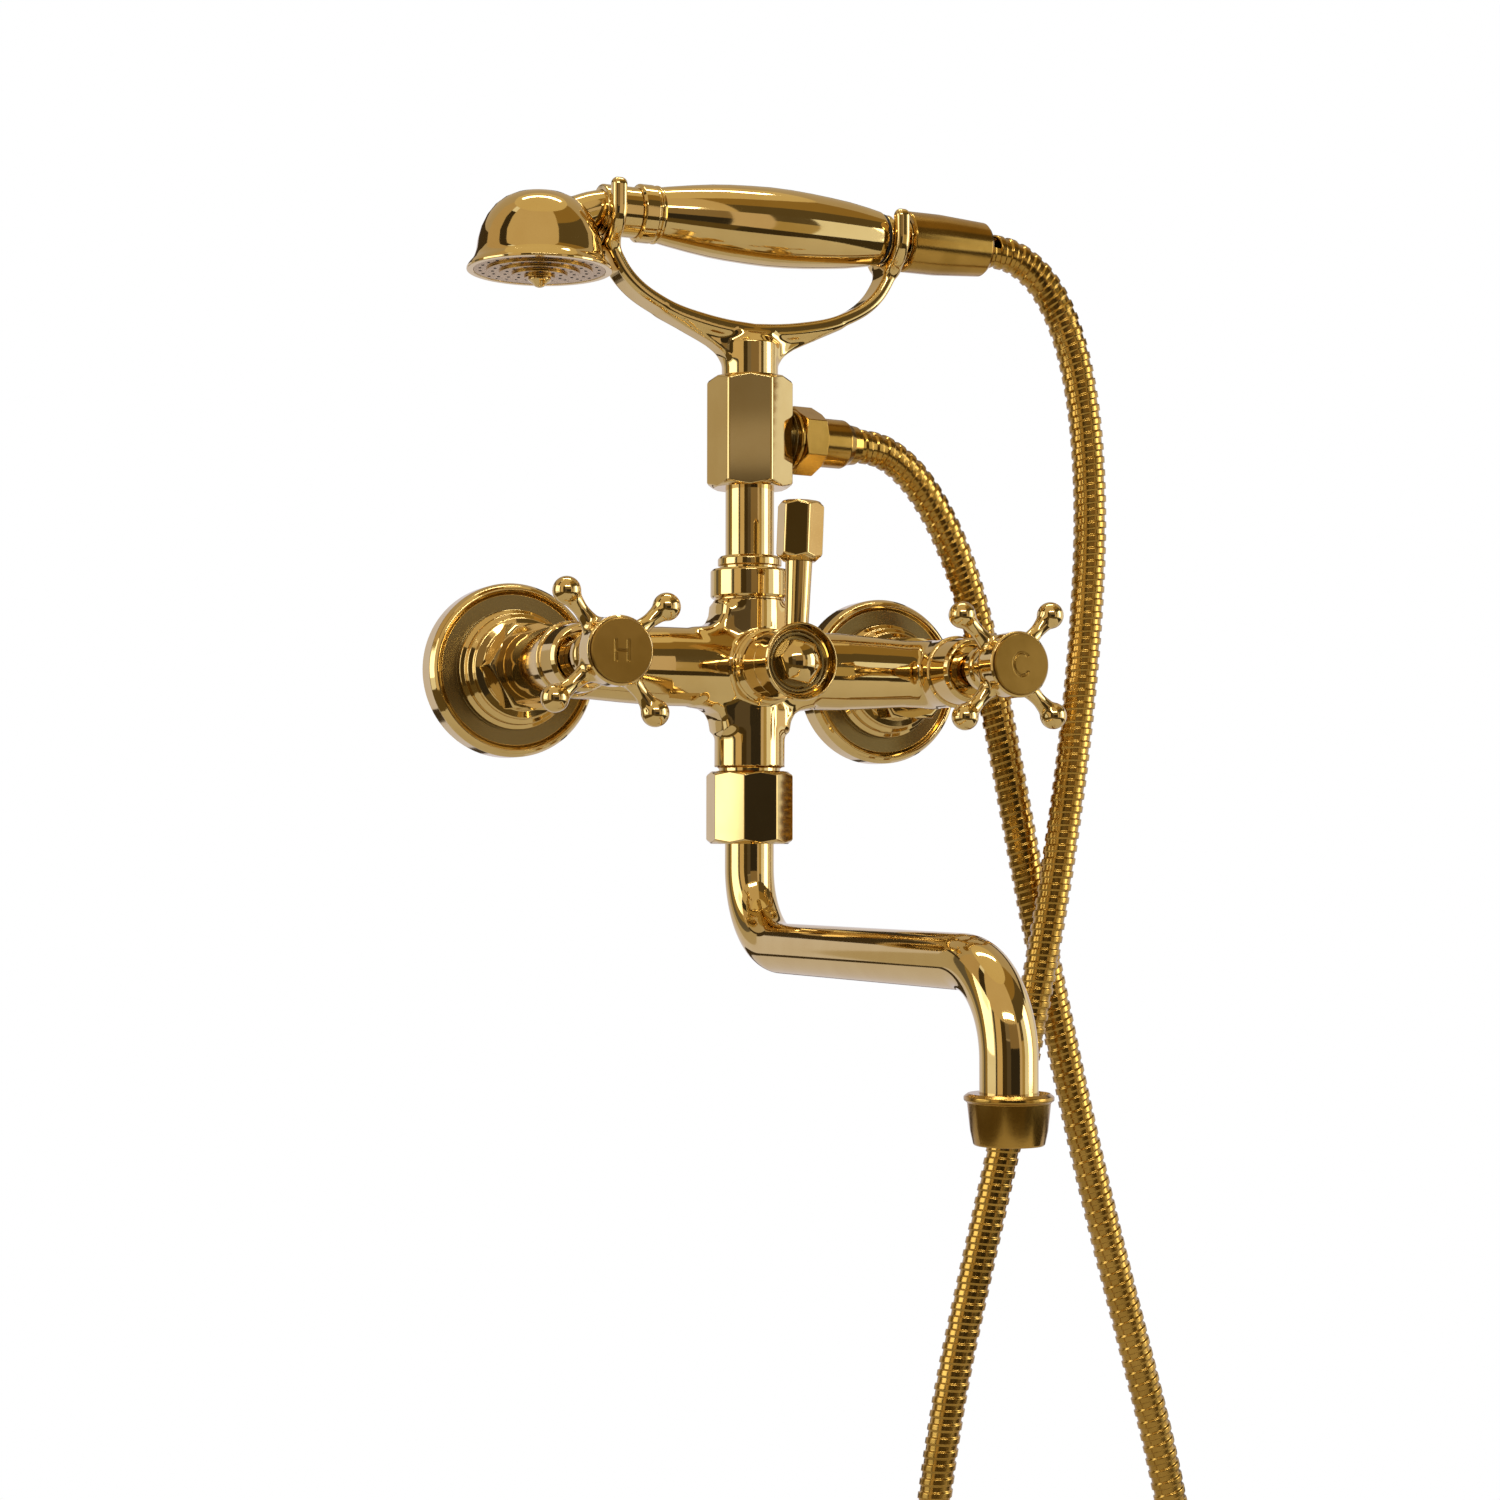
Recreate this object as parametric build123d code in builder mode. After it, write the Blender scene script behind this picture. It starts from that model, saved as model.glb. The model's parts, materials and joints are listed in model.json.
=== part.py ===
from build123d import *
import os
from math import cos, sin, radians, tan

# Wall mounted bath and shower mixer. Origin: wall plane, midway between the two inlets. +Y into the wall, +Z up.

# ---- driving sizes, mm ----
inlet_spacing = 150.0  # centres of the two water inlets
wall_to_axis = 50.0  # wall plane to the axis of the body bar
joint_gap = 0.05  # radial clearance of running fits
seat_gap = 0.1  # axial clearance where a moving piece stops against a fixed one

# wall connection
stud_radius = 10.48  # G1/2 thread
stud_length = 12.0
union_radius = 12.0
union_bore = 8.0
union_thread_radius = 13.2  # G3/4 thread
flange_radius = 31.5
flange_side = 8.2
flange_rim = 11.5
flange_rim_inner = 27.3
flange_floor = 9.5
flange_boss_radius = 21.7
flange_boss_top = 20.0
flange_wall = 2.0
nut_flats = 30.0
nut_start = 22.0
nut_length = 12.0
washer_thickness = 1.5

# body
leg_radius = 12.5
leg_front = 67.0  # distance of the leg's front face from the wall
tail_radius = 10.4
tail_flange = 1.5
bar_radius = 14.0
bar_end_radius = 12.4
bar_bore = 8.0
neck_radius = 12.6
neck_bottom = 35.2
neck_spigot_radius = 11.0
neck_spigot = 12.8
boss_radius = 12.8
boss_top = 24.5
body_bore = 7.0
flare_radius = 15.6  # where the bosses run out into the bar, seen from the front
flare_depth = 13.3  # the same, seen from the side

# valves
bonnet_bead_radius = 13.2
bonnet_radius = 12.2
bonnet_length = 13.5
cartridge_radius = 9.0
cartridge_depth = 22.0  # how far it reaches into the leg
gland_radius = 6.3
gland_length = 10.5
gland_inset = 3.5  # its shoulder lies this far inside the bonnet
spindle_radius = 4.0
handle_gap = 0.5
hub_skirt_radius = 8.3
hub_waist_radius = 7.5
hub_radius = 11.6
hub_length = 25.5
cap_radius = 10.7
cap_thickness = 5.1
cap_proud = 1.1
letter_depth = 0.5
letter_height = 8.4
spoke_reach = 25.2  # valve axis to the centre of a spoke's ball
ball_radius = 4.75
spoke_thin = 2.4
spoke_thick = 4.1
spoke_inset = 8.7  # spoke plane behind the handle's front
handle_turn = {"hot": -6.5, "cold": 1.8}  # how far each cross stands past square
screw_head_radius = 4.4
screw_head = 3.0
screw_radius = 2.0
screw_length = 13.0

# diverter
diverter_bonnet_radius = 13.4
diverter_bonnet_length = 16.0
diverter_seat = 64.0  # its back face, from the wall
knob_radius = 13.7
knob_back_radius = 12.4
knob_length = 13.5
bowl_radius = 12.9
bowl_depth = 4.6
cap_nut_flats = 14.2
cap_nut_height = 7.6
lever_lean = 2.4
lever_plane = 8.0  # behind the middle of the knob's rear face
stem_root_radius = 4.2
stem_top_radius = 4.7
stem_root = 12.2
tenon_radius = 2.0
tenon_length = 2.0
stem_top = 35.0
grip_flats = 14.4
grip_length = 21.0

# riser
riser_radius = 8.75
riser_bore = 6.5
riser_nut_radius = 14.1
riser_nut_height = 11.2
riser_collar_radius = 11.5
riser_collar_height = 4.7
block_flats = 27.1
block_bottom = 65.0
block_height = 40.0
block_turn = 6.0  # how far the block stands past square
block_socket = 12.0
outlet_height = 84.0
spotface_radius = 11.5
spotface_depth = 1.2
nipple_radius = 8.6
nipple_bore = 5.0
hose_nut_start = 15.7
hose_collar_radius = 10.9
hose_collar_length = 1.6
hose_nut_flats = 21.9
hose_nut_length = 10.1
hose_ferrule_radius = 8.9
hose_ferrule_length = 17.1
hose_ferrule_shoulder = 11.0
hose_radius = 6.25

# cradle
cradle_stem_radius = 10.15
cradle_spigot_radius = 8.0
cradle_spigot = 10.0
cradle_root = 9.0  # how far the gussets' roots lie below the top of the stem
cradle_floor = 123.8  # top of the bar at its middle
cradle_bar_thickness = 4.6
cradle_bar_width = 12.0
fork_x = 55.6
fork_width = 5.4
fork_prong = 9.0  # above the handset's axis
elbow_out = 4.6  # where the arm turns up, inside the fork
shoulder_out = 14.6  # where it starts to climb
arm_middle = 25.0
saddle_radius = 9.2
fork_thickness = 5.4
gusset_width = 8.0
gusset_reach = 34.0
gusset_middle = 24.0
gusset_depth = 1.4

# handset
handset_height = 160.6
rest_radius = 8.9
grip_left = -36.8
grip_right = 51.9
grip_end_radius = 10.0
grip_mid_radius = 14.2
grip_tail_radius = 9.7
grip_bore = 7.2
ferrule_radius = 10.3
ferrule_length = 8.0
neck_tube_radius = 7.3
handset_bore = 5.0
head_x = -80.6
head_drop = 24.0  # handset axis down to the rim
head_rim_radius = 25.4
head_bell_radius = 22.0
head_rise = 4.0  # handset axis up to the top of the bell
head_wall = 1.8
plate_radius = 23.0
plate_thickness = 2.4
plate_step = 0.7
plate_steps = 4
button_radius = 4.0
button_drop = 3.2
seal_thickness = 1.2
tail_ring = 2.4
tail_neck_radius = 7.0
tail_thread_radius = 8.4
sleeve_left = 62.0
sleeve_right = 96.0
sleeve_radius = 11.2
sleeve_end_radius = 10.0
sleeve_wall = 2.2

# spout
spout_radius = 8.75
spout_bore = 7.0
spout_bend = 28.0
spout_drop = 99.2
spout_reach = 185.0
spout_end = 146.0
spout_nut_flats = 28.9
spout_nut_top = 36.8
spout_nut_length = 25.9
spout_flange_radius = 10.9
spout_flange = 2.0
spout_washer = 1.4
collar_top = 136.9
collar_top_radius = 13.4
collar_bottom = 152.2
collar_bottom_radius = 10.6
collar_lip = 2.6
aerator_radius = 8.4
aerator_length = 4.0

axis_y = -wall_to_axis
half_spacing = inlet_spacing / 2
os.makedirs("parts", exist_ok=True)


def finish(piece, name):
    piece.part.label = name
    export_step(piece.part, f"parts/{name}.step")
    return piece


def front_facing(x, z=0.0, y=0.0):
    """Turning plane whose local Y runs out of the wall, with local X the radius."""
    return Plane(origin=(x, y, z), x_dir=(1, 0, 0), z_dir=(0, 0, -1))


def upright(x=0.0, y=axis_y, z=0.0):
    """Turning plane whose local Y runs up."""
    return Plane(origin=(x, y, z), x_dir=(1, 0, 0), z_dir=(0, -1, 0))


def sideways(z, y=axis_y, turn=0.0):
    """Turning plane whose local Y runs along +X, turned about the riser."""
    towards = Vector(cos(radians(turn)), sin(radians(turn)), 0)
    return Plane(origin=(0, y, z), x_dir=(0, 0, 1), z_dir=Vector(0, 0, 1).cross(towards))


def turned(place, outline):
    """A turned piece: (radius, distance) points, closed, spun about the plane's Y axis."""
    with BuildPart() as piece:
        with BuildSketch(place):
            with BuildLine():
                Polyline(*outline, close=True)
            make_face()
        revolve(axis=Axis(place.origin, place.y_dir))
    return piece


def prism_nut(place, sides, flats, start, length, bore, chamfer_width, turn=0.0):
    """A nut on the plane's Y axis with both ends of its flats chamfered to arcs."""
    corner = flats / 2 / cos(radians(180 / sides))
    side = Plane(origin=place.origin + place.y_dir * start, x_dir=place.x_dir, z_dir=place.y_dir)
    with BuildPart() as piece:
        with BuildSketch(side):
            RegularPolygon(flats / 2, sides, major_radius=False, rotation=turn)
        extrude(amount=length)
        with BuildSketch(place):
            with BuildLine():
                Polyline(
                    (0, start), (corner - chamfer_width, start), (corner, start + chamfer_width * 0.58),
                    (corner, start + length - chamfer_width * 0.58), (corner - chamfer_width, start + length),
                    (0, start + length), close=True,
                )
            make_face()
        revolve(axis=Axis(place.origin, place.y_dir), mode=Mode.INTERSECT)
        with BuildSketch(side):
            Circle(bore)
        extrude(amount=length, mode=Mode.SUBTRACT)
    return piece


# ---- wall flanges, unions, union nuts and washers ----
nut_end = nut_start + nut_length
washer_start = nut_end - 2 * tail_flange - washer_thickness - 1.0
tail_start = washer_start + washer_thickness
tail_flange_end = tail_start + tail_flange
nut_bore = union_thread_radius + joint_gap


def wall_flange(x):
    top = flange_boss_top
    step = (flange_boss_radius - union_radius) / 5
    inside = flange_floor - flange_wall
    return turned(front_facing(x), [
        (flange_radius, 0), (flange_radius, flange_side), (flange_radius - 1.0, flange_rim - 1.0),
        (flange_radius - 2.2, flange_rim), (flange_rim_inner + 1.0, flange_rim - 0.5),
        (flange_rim_inner, flange_floor), (flange_boss_radius, flange_floor),
        (flange_boss_radius, top - 7.4), (flange_boss_radius - step * 0.9, top - 6.4),
        (flange_boss_radius - step * 0.9, top - 3.6), (flange_boss_radius - step * 1.8, top - 2.6),
        (flange_boss_radius - step * 1.8, top), (union_radius + joint_gap, top),
        (union_radius + joint_gap, inside), (flange_radius - flange_wall, inside),
        (flange_radius - flange_wall, 0),
    ])


def wall_union(x):
    return turned(front_facing(x), [
        (union_bore, -stud_length), (stud_radius - 1.0, -stud_length), (stud_radius, 1.0 - stud_length),
        (stud_radius, 0), (union_radius, 0), (union_radius, flange_boss_top),
        (union_thread_radius, flange_boss_top), (union_thread_radius, washer_start), (union_bore, washer_start),
    ])


def union_nut(x):
    with BuildPart() as piece:
        add(prism_nut(front_facing(x), 6, nut_flats, nut_start, nut_length, tail_radius + joint_gap, 1.8).part)
        with BuildSketch(Plane(origin=(x, -nut_start, 0), x_dir=(1, 0, 0), z_dir=(0, -1, 0))):
            Circle(nut_bore)
        extrude(amount=tail_flange_end - nut_start + joint_gap, mode=Mode.SUBTRACT)
    return piece


def union_washer(x):
    return turned(front_facing(x), [
        (union_bore, washer_start), (union_thread_radius - 0.4, washer_start),
        (union_thread_radius - 0.4, tail_start), (union_bore, tail_start),
    ])


for side_name, side_x in (("left", -half_spacing), ("right", half_spacing)):
    finish(wall_flange(side_x), f"wall_flange_{side_name}")
    finish(wall_union(side_x), f"wall_union_{side_name}")
    finish(union_nut(side_x), f"union_nut_{side_name}")
    finish(union_washer(side_x), f"union_washer_{side_name}")

# ---- body: bar, two legs, riser boss, spout neck and diverter boss in one casting ----
leg_back = nut_end + seat_gap
cartridge_start = leg_front - cartridge_depth
body_cartridge_radius = cartridge_radius + joint_gap
neck_end = neck_bottom + neck_spigot
riser_seat = boss_top - 12.0
flare_z = bar_radius - 2.2
with BuildPart() as neck_and_boss:
    with BuildSketch(upright()):
        with BuildLine():
            Polyline((0, boss_top), (boss_radius, boss_top), (boss_radius, 21))
            ThreePointArc((boss_radius, 21), (boss_radius + 1.2, 15.5), (flare_radius, flare_z))
            Line((flare_radius, flare_z), (flare_radius, -flare_z))
            ThreePointArc((flare_radius, -flare_z), (neck_radius + 1.2, -15.5), (neck_radius, -21))
            Polyline(
                (neck_radius, -21), (neck_radius, -neck_bottom), (neck_spigot_radius, -neck_bottom),
                (neck_spigot_radius, -neck_end), (0, -neck_end), (0, boss_top),
            )
        make_face()
    revolve(axis=Axis((0, axis_y, 0), (0, 0, 1)))
    with BuildSketch(Plane(origin=(0, axis_y, -neck_end), x_dir=(1, 0, 0), z_dir=(0, 0, 1))):
        Rectangle(4 * flare_radius, 2 * flare_depth)
    extrude(amount=neck_end + boss_top, mode=Mode.INTERSECT)
with BuildPart() as mixer_body:
    with BuildSketch(sideways(0)):
        with BuildLine():
            Polyline(
                (0, -half_spacing), (bar_end_radius, -half_spacing), (bar_end_radius, 14 - half_spacing),
                (bar_radius, -35), (bar_radius, 35), (bar_end_radius, half_spacing - 14),
                (bar_end_radius, half_spacing), (0, half_spacing), close=True,
            )
        make_face()
    revolve(axis=Axis((0, axis_y, 0), (1, 0, 0)))
    for leg_x in (-half_spacing, half_spacing):
        with BuildSketch(front_facing(leg_x)):
            with BuildLine():
                Polyline(
                    (0, tail_start), (tail_flange + tail_radius + 0.9, tail_start),
                    (tail_flange + tail_radius + 0.9, tail_flange_end), (tail_radius, tail_flange_end),
                    (tail_radius, leg_back), (leg_radius - 0.6, leg_back), (leg_radius, leg_back + 0.6),
                    (leg_radius, leg_front), (0, leg_front), close=True,
                )
            make_face()
        revolve(axis=Axis((leg_x, 0, 0), (0, -1, 0)))
    add(neck_and_boss.part)
    with BuildSketch(Plane(origin=(0, axis_y, 0), x_dir=(1, 0, 0), z_dir=(0, -1, 0))):
        Circle(diverter_bonnet_radius - 0.4)
    extrude(amount=diverter_seat - wall_to_axis)
    with BuildSketch(Plane(origin=(-half_spacing, axis_y, 0), x_dir=(0, 1, 0), z_dir=(1, 0, 0))):
        Circle(bar_bore)
    extrude(amount=inlet_spacing, mode=Mode.SUBTRACT)
    for leg_x in (-half_spacing, half_spacing):
        with BuildSketch(Plane(origin=(leg_x, -tail_start, 0), x_dir=(1, 0, 0), z_dir=(0, -1, 0))):
            Circle(body_bore)
        extrude(amount=cartridge_start - tail_start, mode=Mode.SUBTRACT)
        with BuildSketch(Plane(origin=(leg_x, -leg_front, 0), x_dir=(1, 0, 0), z_dir=(0, 1, 0))):
            Circle(body_cartridge_radius)
        extrude(amount=cartridge_depth, mode=Mode.SUBTRACT)
    with BuildSketch(Plane(origin=(0, axis_y, -neck_end), x_dir=(1, 0, 0), z_dir=(0, 0, 1))):
        Circle(body_bore)
    extrude(amount=neck_end + riser_seat, mode=Mode.SUBTRACT)
    with BuildSketch(Plane(origin=(0, axis_y, riser_seat), x_dir=(1, 0, 0), z_dir=(0, 0, 1))):
        Circle(riser_radius + joint_gap)
    extrude(amount=boss_top - riser_seat, mode=Mode.SUBTRACT)
    with BuildSketch(Plane(origin=(0, -diverter_seat, 0), x_dir=(1, 0, 0), z_dir=(0, 1, 0))):
        Circle(body_cartridge_radius)
    extrude(amount=diverter_seat - wall_to_axis, mode=Mode.SUBTRACT)
finish(mixer_body, "mixer_body")

# ---- valves: bonnet, cartridge, spindle, cross handle, screw and index cap ----
bonnet_front = leg_front + bonnet_length
gland_front = bonnet_front - gland_inset + gland_length
hub_back = gland_front + handle_gap
hub_front = hub_back + hub_length
spoke_plane = hub_front - spoke_inset
cap_back = hub_front + cap_proud - cap_thickness
screw_seat = cap_back - screw_head - 0.6
spindle_front = screw_seat - seat_gap


def valve_bonnet(x):
    return turned(front_facing(x), [
        (body_cartridge_radius, leg_front), (bonnet_bead_radius - 0.5, leg_front),
        (bonnet_bead_radius, leg_front + 0.5), (bonnet_bead_radius, leg_front + 1.7),
        (bonnet_bead_radius - 0.5, leg_front + 2.2), (bonnet_radius, leg_front + 2.4),
        (bonnet_radius - 0.5, bonnet_front - 2.0), (bonnet_radius - 1.0, bonnet_front - 0.6),
        (bonnet_radius - 1.7, bonnet_front), (body_cartridge_radius + 0.6, bonnet_front),
        (body_cartridge_radius, bonnet_front - 0.6),
    ])


def cartridge(x, start, shoulder, front, neck):
    return turned(front_facing(x), [
        (spindle_radius + joint_gap, start), (cartridge_radius, start), (cartridge_radius, shoulder),
        (neck, shoulder), (neck, front), (spindle_radius + joint_gap, front),
    ])


def spindle(x, start, front, hole):
    return turned(front_facing(x), [
        (0, start), (spindle_radius, start), (spindle_radius, front), (screw_radius, front),
        (screw_radius, front - hole), (0, front - hole),
    ])


def cross_handle(x, turn):
    with BuildPart() as piece:
        with BuildSketch(front_facing(x)):
            with BuildLine():
                Polyline(
                    (hub_waist_radius, hub_back + 5.2), (hub_skirt_radius, hub_back + 3.4),
                    (hub_skirt_radius, hub_back), (spindle_radius, hub_back), (spindle_radius, screw_seat),
                    (screw_head_radius + 0.4, screw_seat), (screw_head_radius + 0.4, cap_back),
                    (cap_radius, cap_back), (cap_radius, hub_front), (hub_radius - 0.4, hub_front),
                    (hub_radius, hub_front - 0.4), (hub_radius, spoke_plane - 1.2),
                )
                Spline(
                    (hub_radius, spoke_plane - 1.2), (hub_radius - 1.5, spoke_plane - 4.6),
                    (hub_waist_radius, hub_back + 5.2),
                )
            make_face()
        revolve(axis=Axis((x, 0, 0), (0, -1, 0)))
        neck_end_s = spoke_reach - (ball_radius**2 - 3.0**2) ** 0.5
        for k in range(4):
            angle = radians(45 + 90 * k + turn)
            along = Vector(cos(angle), 0, sin(angle))
            centre = Vector(x, -spoke_plane, 0)
            place = Plane(origin=centre, x_dir=(0, -1, 0), z_dir=Vector(0, -1, 0).cross(along))
            with BuildSketch(place):
                with BuildLine():
                    Polyline((0, 9.0), (spoke_thick, 9.0), (spoke_thick, 10.2))
                    Spline((spoke_thick, 10.2), (spoke_thin + 0.4, 14.0), (spoke_thin, 17.6), (3.0, neck_end_s))
                    ThreePointArc((3.0, neck_end_s), (ball_radius, spoke_reach), (0, spoke_reach + ball_radius))
                    Line((0, spoke_reach + ball_radius), (0, 9.0))
                make_face()
            revolve(axis=Axis(centre, along))
    return piece


def index_cap(x, letter):
    face = Plane(origin=(x, -cap_back - cap_thickness, 0), x_dir=(1, 0, 0), z_dir=(0, -1, 0))
    stroke = letter_height / 9
    with BuildPart() as piece:
        with BuildSketch(Plane(origin=(x, -cap_back, 0), x_dir=(1, 0, 0), z_dir=(0, -1, 0))):
            Circle(cap_radius)
        extrude(amount=cap_thickness)
        chamfer(piece.faces().sort_by(Axis.Y)[0].edges(), 0.3)
        with BuildSketch(face):
            if letter == "H":
                with Locations((-letter_height / 3.4, 0), (letter_height / 3.4, 0)):
                    Rectangle(stroke, letter_height)
                Rectangle(letter_height / 1.7, stroke)
            else:
                Circle(letter_height / 2)
                Circle(letter_height / 2 - stroke, mode=Mode.SUBTRACT)
                with Locations((letter_height / 2, 0)):
                    Rectangle(letter_height * 0.75, letter_height * 0.56, mode=Mode.SUBTRACT)
        extrude(amount=-letter_depth, mode=Mode.SUBTRACT)
    return piece


def handle_screw(x):
    return turned(front_facing(x), [
        (0, screw_seat - screw_length), (screw_radius, screw_seat - screw_length), (screw_radius, screw_seat),
        (screw_head_radius, screw_seat), (screw_head_radius, screw_seat + screw_head - 0.4),
        (screw_head_radius - 0.4, screw_seat + screw_head), (1.6, screw_seat + screw_head),
        (1.6, screw_seat + screw_head - 1.8), (0, screw_seat + screw_head - 1.8),
    ])


for valve, valve_x, letter in (("hot", -half_spacing, "H"), ("cold", half_spacing, "C")):
    gland_shoulder = bonnet_front - gland_inset
    finish(valve_bonnet(valve_x), f"valve_bonnet_{valve}")
    finish(cartridge(valve_x, cartridge_start, gland_shoulder, gland_front, gland_radius), f"cartridge_{valve}")
    finish(spindle(valve_x, leg_front - 10, spindle_front, screw_length), f"spindle_{valve}")
    finish(cross_handle(valve_x, handle_turn[valve]), f"handle_{valve}")
    finish(handle_screw(valve_x), f"handle_screw_{valve}")
    finish(index_cap(valve_x, letter), f"index_cap_{valve}")

# ---- diverter: bonnet, cartridge, spindle, round knob with a lever, cap nut ----
diverter_front = diverter_seat + diverter_bonnet_length
knob_back = diverter_front + 0.3
knob_front = knob_back + knob_length
bowl_floor = knob_front - bowl_depth
bowl_floor_radius = cap_nut_flats / 2 / cos(radians(30)) + 0.2
diverter_bonnet = turned(front_facing(0), [
    (body_cartridge_radius, diverter_seat), (diverter_bonnet_radius, diverter_seat),
    (diverter_bonnet_radius, diverter_seat + 2.4), (diverter_bonnet_radius - 0.9, diverter_seat + 3.2),
    (diverter_bonnet_radius - 1.6, diverter_seat + 5.0), (knob_back_radius - 0.4, diverter_front),
    (body_cartridge_radius, diverter_front),
])
finish(diverter_bonnet, "diverter_bonnet")
diverter_start = wall_to_axis + bar_bore + 1.0
finish(cartridge(0, diverter_start, diverter_front - 2, diverter_front, gland_radius), "diverter_cartridge")
finish(spindle(0, diverter_start + 4, bowl_floor, 0.5), "diverter_spindle")

lever_y = -(knob_back + lever_plane - 0.3)
lever_up = Vector(sin(radians(lever_lean)), 0, cos(radians(lever_lean)))
lever_place = Plane(origin=(0, lever_y, 0), x_dir=(0, -1, 0), z_dir=Vector(0, -1, 0).cross(lever_up))
with BuildPart() as diverter_knob:
    with BuildSketch(front_facing(0)):
        with BuildLine():
            Polyline(
                (spindle_radius, knob_back), (knob_back_radius, knob_back), (knob_back_radius, knob_back + 7),
                (knob_radius - 0.5, knob_front - 2.0), (knob_radius, knob_front - 1.0),
                (knob_radius - 0.4, knob_front), (bowl_radius, knob_front),
            )
            ThreePointArc((bowl_radius, knob_front), (bowl_radius - 1.4, bowl_floor + 1.3), (bowl_floor_radius, bowl_floor))
            Polyline((bowl_floor_radius, bowl_floor), (spindle_radius, bowl_floor), (spindle_radius, knob_back))
        make_face()
    revolve(axis=Axis((0, 0, 0), (0, -1, 0)))
    for radius, start in ((stem_root_radius, stem_root), (tenon_radius, stem_root - tenon_length)):
        with BuildSketch(Plane(origin=lever_place.origin + lever_up * start, x_dir=(1, 0, 0), z_dir=lever_up)):
            Circle(radius)
        extrude(amount=2 * tenon_length, mode=Mode.SUBTRACT)
finish(diverter_knob, "diverter_knob")

with BuildPart() as diverter_cap_nut:
    with BuildSketch(Plane(origin=(0, -bowl_floor, 0), x_dir=(1, 0, 0), z_dir=(0, -1, 0))):
        RegularPolygon(cap_nut_flats / 2, 6, major_radius=False, rotation=50)
    extrude(amount=cap_nut_height)
    with BuildSketch(front_facing(0)):
        with BuildLine():
            Line((0, bowl_floor), (cap_nut_flats, bowl_floor))
            Line((cap_nut_flats, bowl_floor), (cap_nut_flats, bowl_floor + 1.0))
            Spline(
                (cap_nut_flats, bowl_floor + 1.0), (cap_nut_flats * 0.58, bowl_floor + cap_nut_height * 0.56),
                (0, bowl_floor + cap_nut_height), tangents=((-1, 0.7), (-1, 0)),
            )
            Line((0, bowl_floor + cap_nut_height), (0, bowl_floor))
        make_face()
    revolve(axis=Axis((0, 0, 0), (0, -1, 0)), mode=Mode.INTERSECT)
finish(diverter_cap_nut, "diverter_cap_nut")

finish(turned(lever_place, [
    (0, stem_root - tenon_length), (tenon_radius, stem_root - tenon_length), (tenon_radius, stem_root),
    (stem_root_radius, stem_root), (stem_root_radius, stem_root + 2), (stem_top_radius, stem_top),
    (2.5, stem_top), (2.5, stem_top + 6), (0, stem_top + 6),
]), "lever_stem")
with BuildPart() as lever_grip:
    with BuildSketch(Plane(origin=lever_place.origin + lever_up * stem_top, x_dir=(1, 0, 0), z_dir=lever_up)):
        RegularPolygon(grip_flats / 2, 6, major_radius=False, rotation=24.5)
    extrude(amount=grip_length)
    with BuildSketch(lever_place):
        with BuildLine():
            Polyline(
                (0, stem_top), (stem_top_radius + 1.0, stem_top), (grip_flats * 0.56, stem_top + 2.4),
                (grip_flats * 0.6, stem_top + grip_length - 2.0), (grip_flats * 0.48, stem_top + grip_length),
                (0, stem_top + grip_length), close=True,
            )
        make_face()
    revolve(axis=Axis(lever_place.origin, lever_up), mode=Mode.INTERSECT)
    with BuildSketch(Plane(origin=lever_place.origin + lever_up * stem_top, x_dir=(1, 0, 0), z_dir=lever_up)):
        Circle(2.5)
    extrude(amount=6, mode=Mode.SUBTRACT)
finish(lever_grip, "lever_grip")

# ---- riser: nut, collar, pipe, union block, hose outlet ----
nut_top = boss_top + riser_nut_height
collar_ring_top = nut_top + riser_collar_height
finish(turned(upright(), [
    (riser_radius + joint_gap, boss_top), (riser_nut_radius - 1.8, boss_top), (riser_nut_radius - 1.8, boss_top + 0.8),
    (riser_nut_radius, boss_top + 1.4), (riser_nut_radius, nut_top - 0.6), (riser_nut_radius - 0.6, nut_top),
    (riser_radius + joint_gap, nut_top),
]), "riser_nut")
finish(turned(upright(), [
    (riser_radius + joint_gap, nut_top), (riser_collar_radius - 0.8, nut_top), (riser_collar_radius - 0.8, nut_top + 1.1),
    (riser_collar_radius, nut_top + 1.4), (riser_collar_radius, collar_ring_top - 0.9),
    (riser_collar_radius - 0.9, collar_ring_top), (riser_radius + joint_gap, collar_ring_top),
]), "riser_collar")
block_top = block_bottom + block_height
pipe_top = block_bottom + block_socket
finish(turned(upright(), [
    (riser_bore, riser_seat), (riser_radius, riser_seat), (riser_radius, pipe_top), (riser_bore, pipe_top),
]), "riser_pipe")

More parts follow.
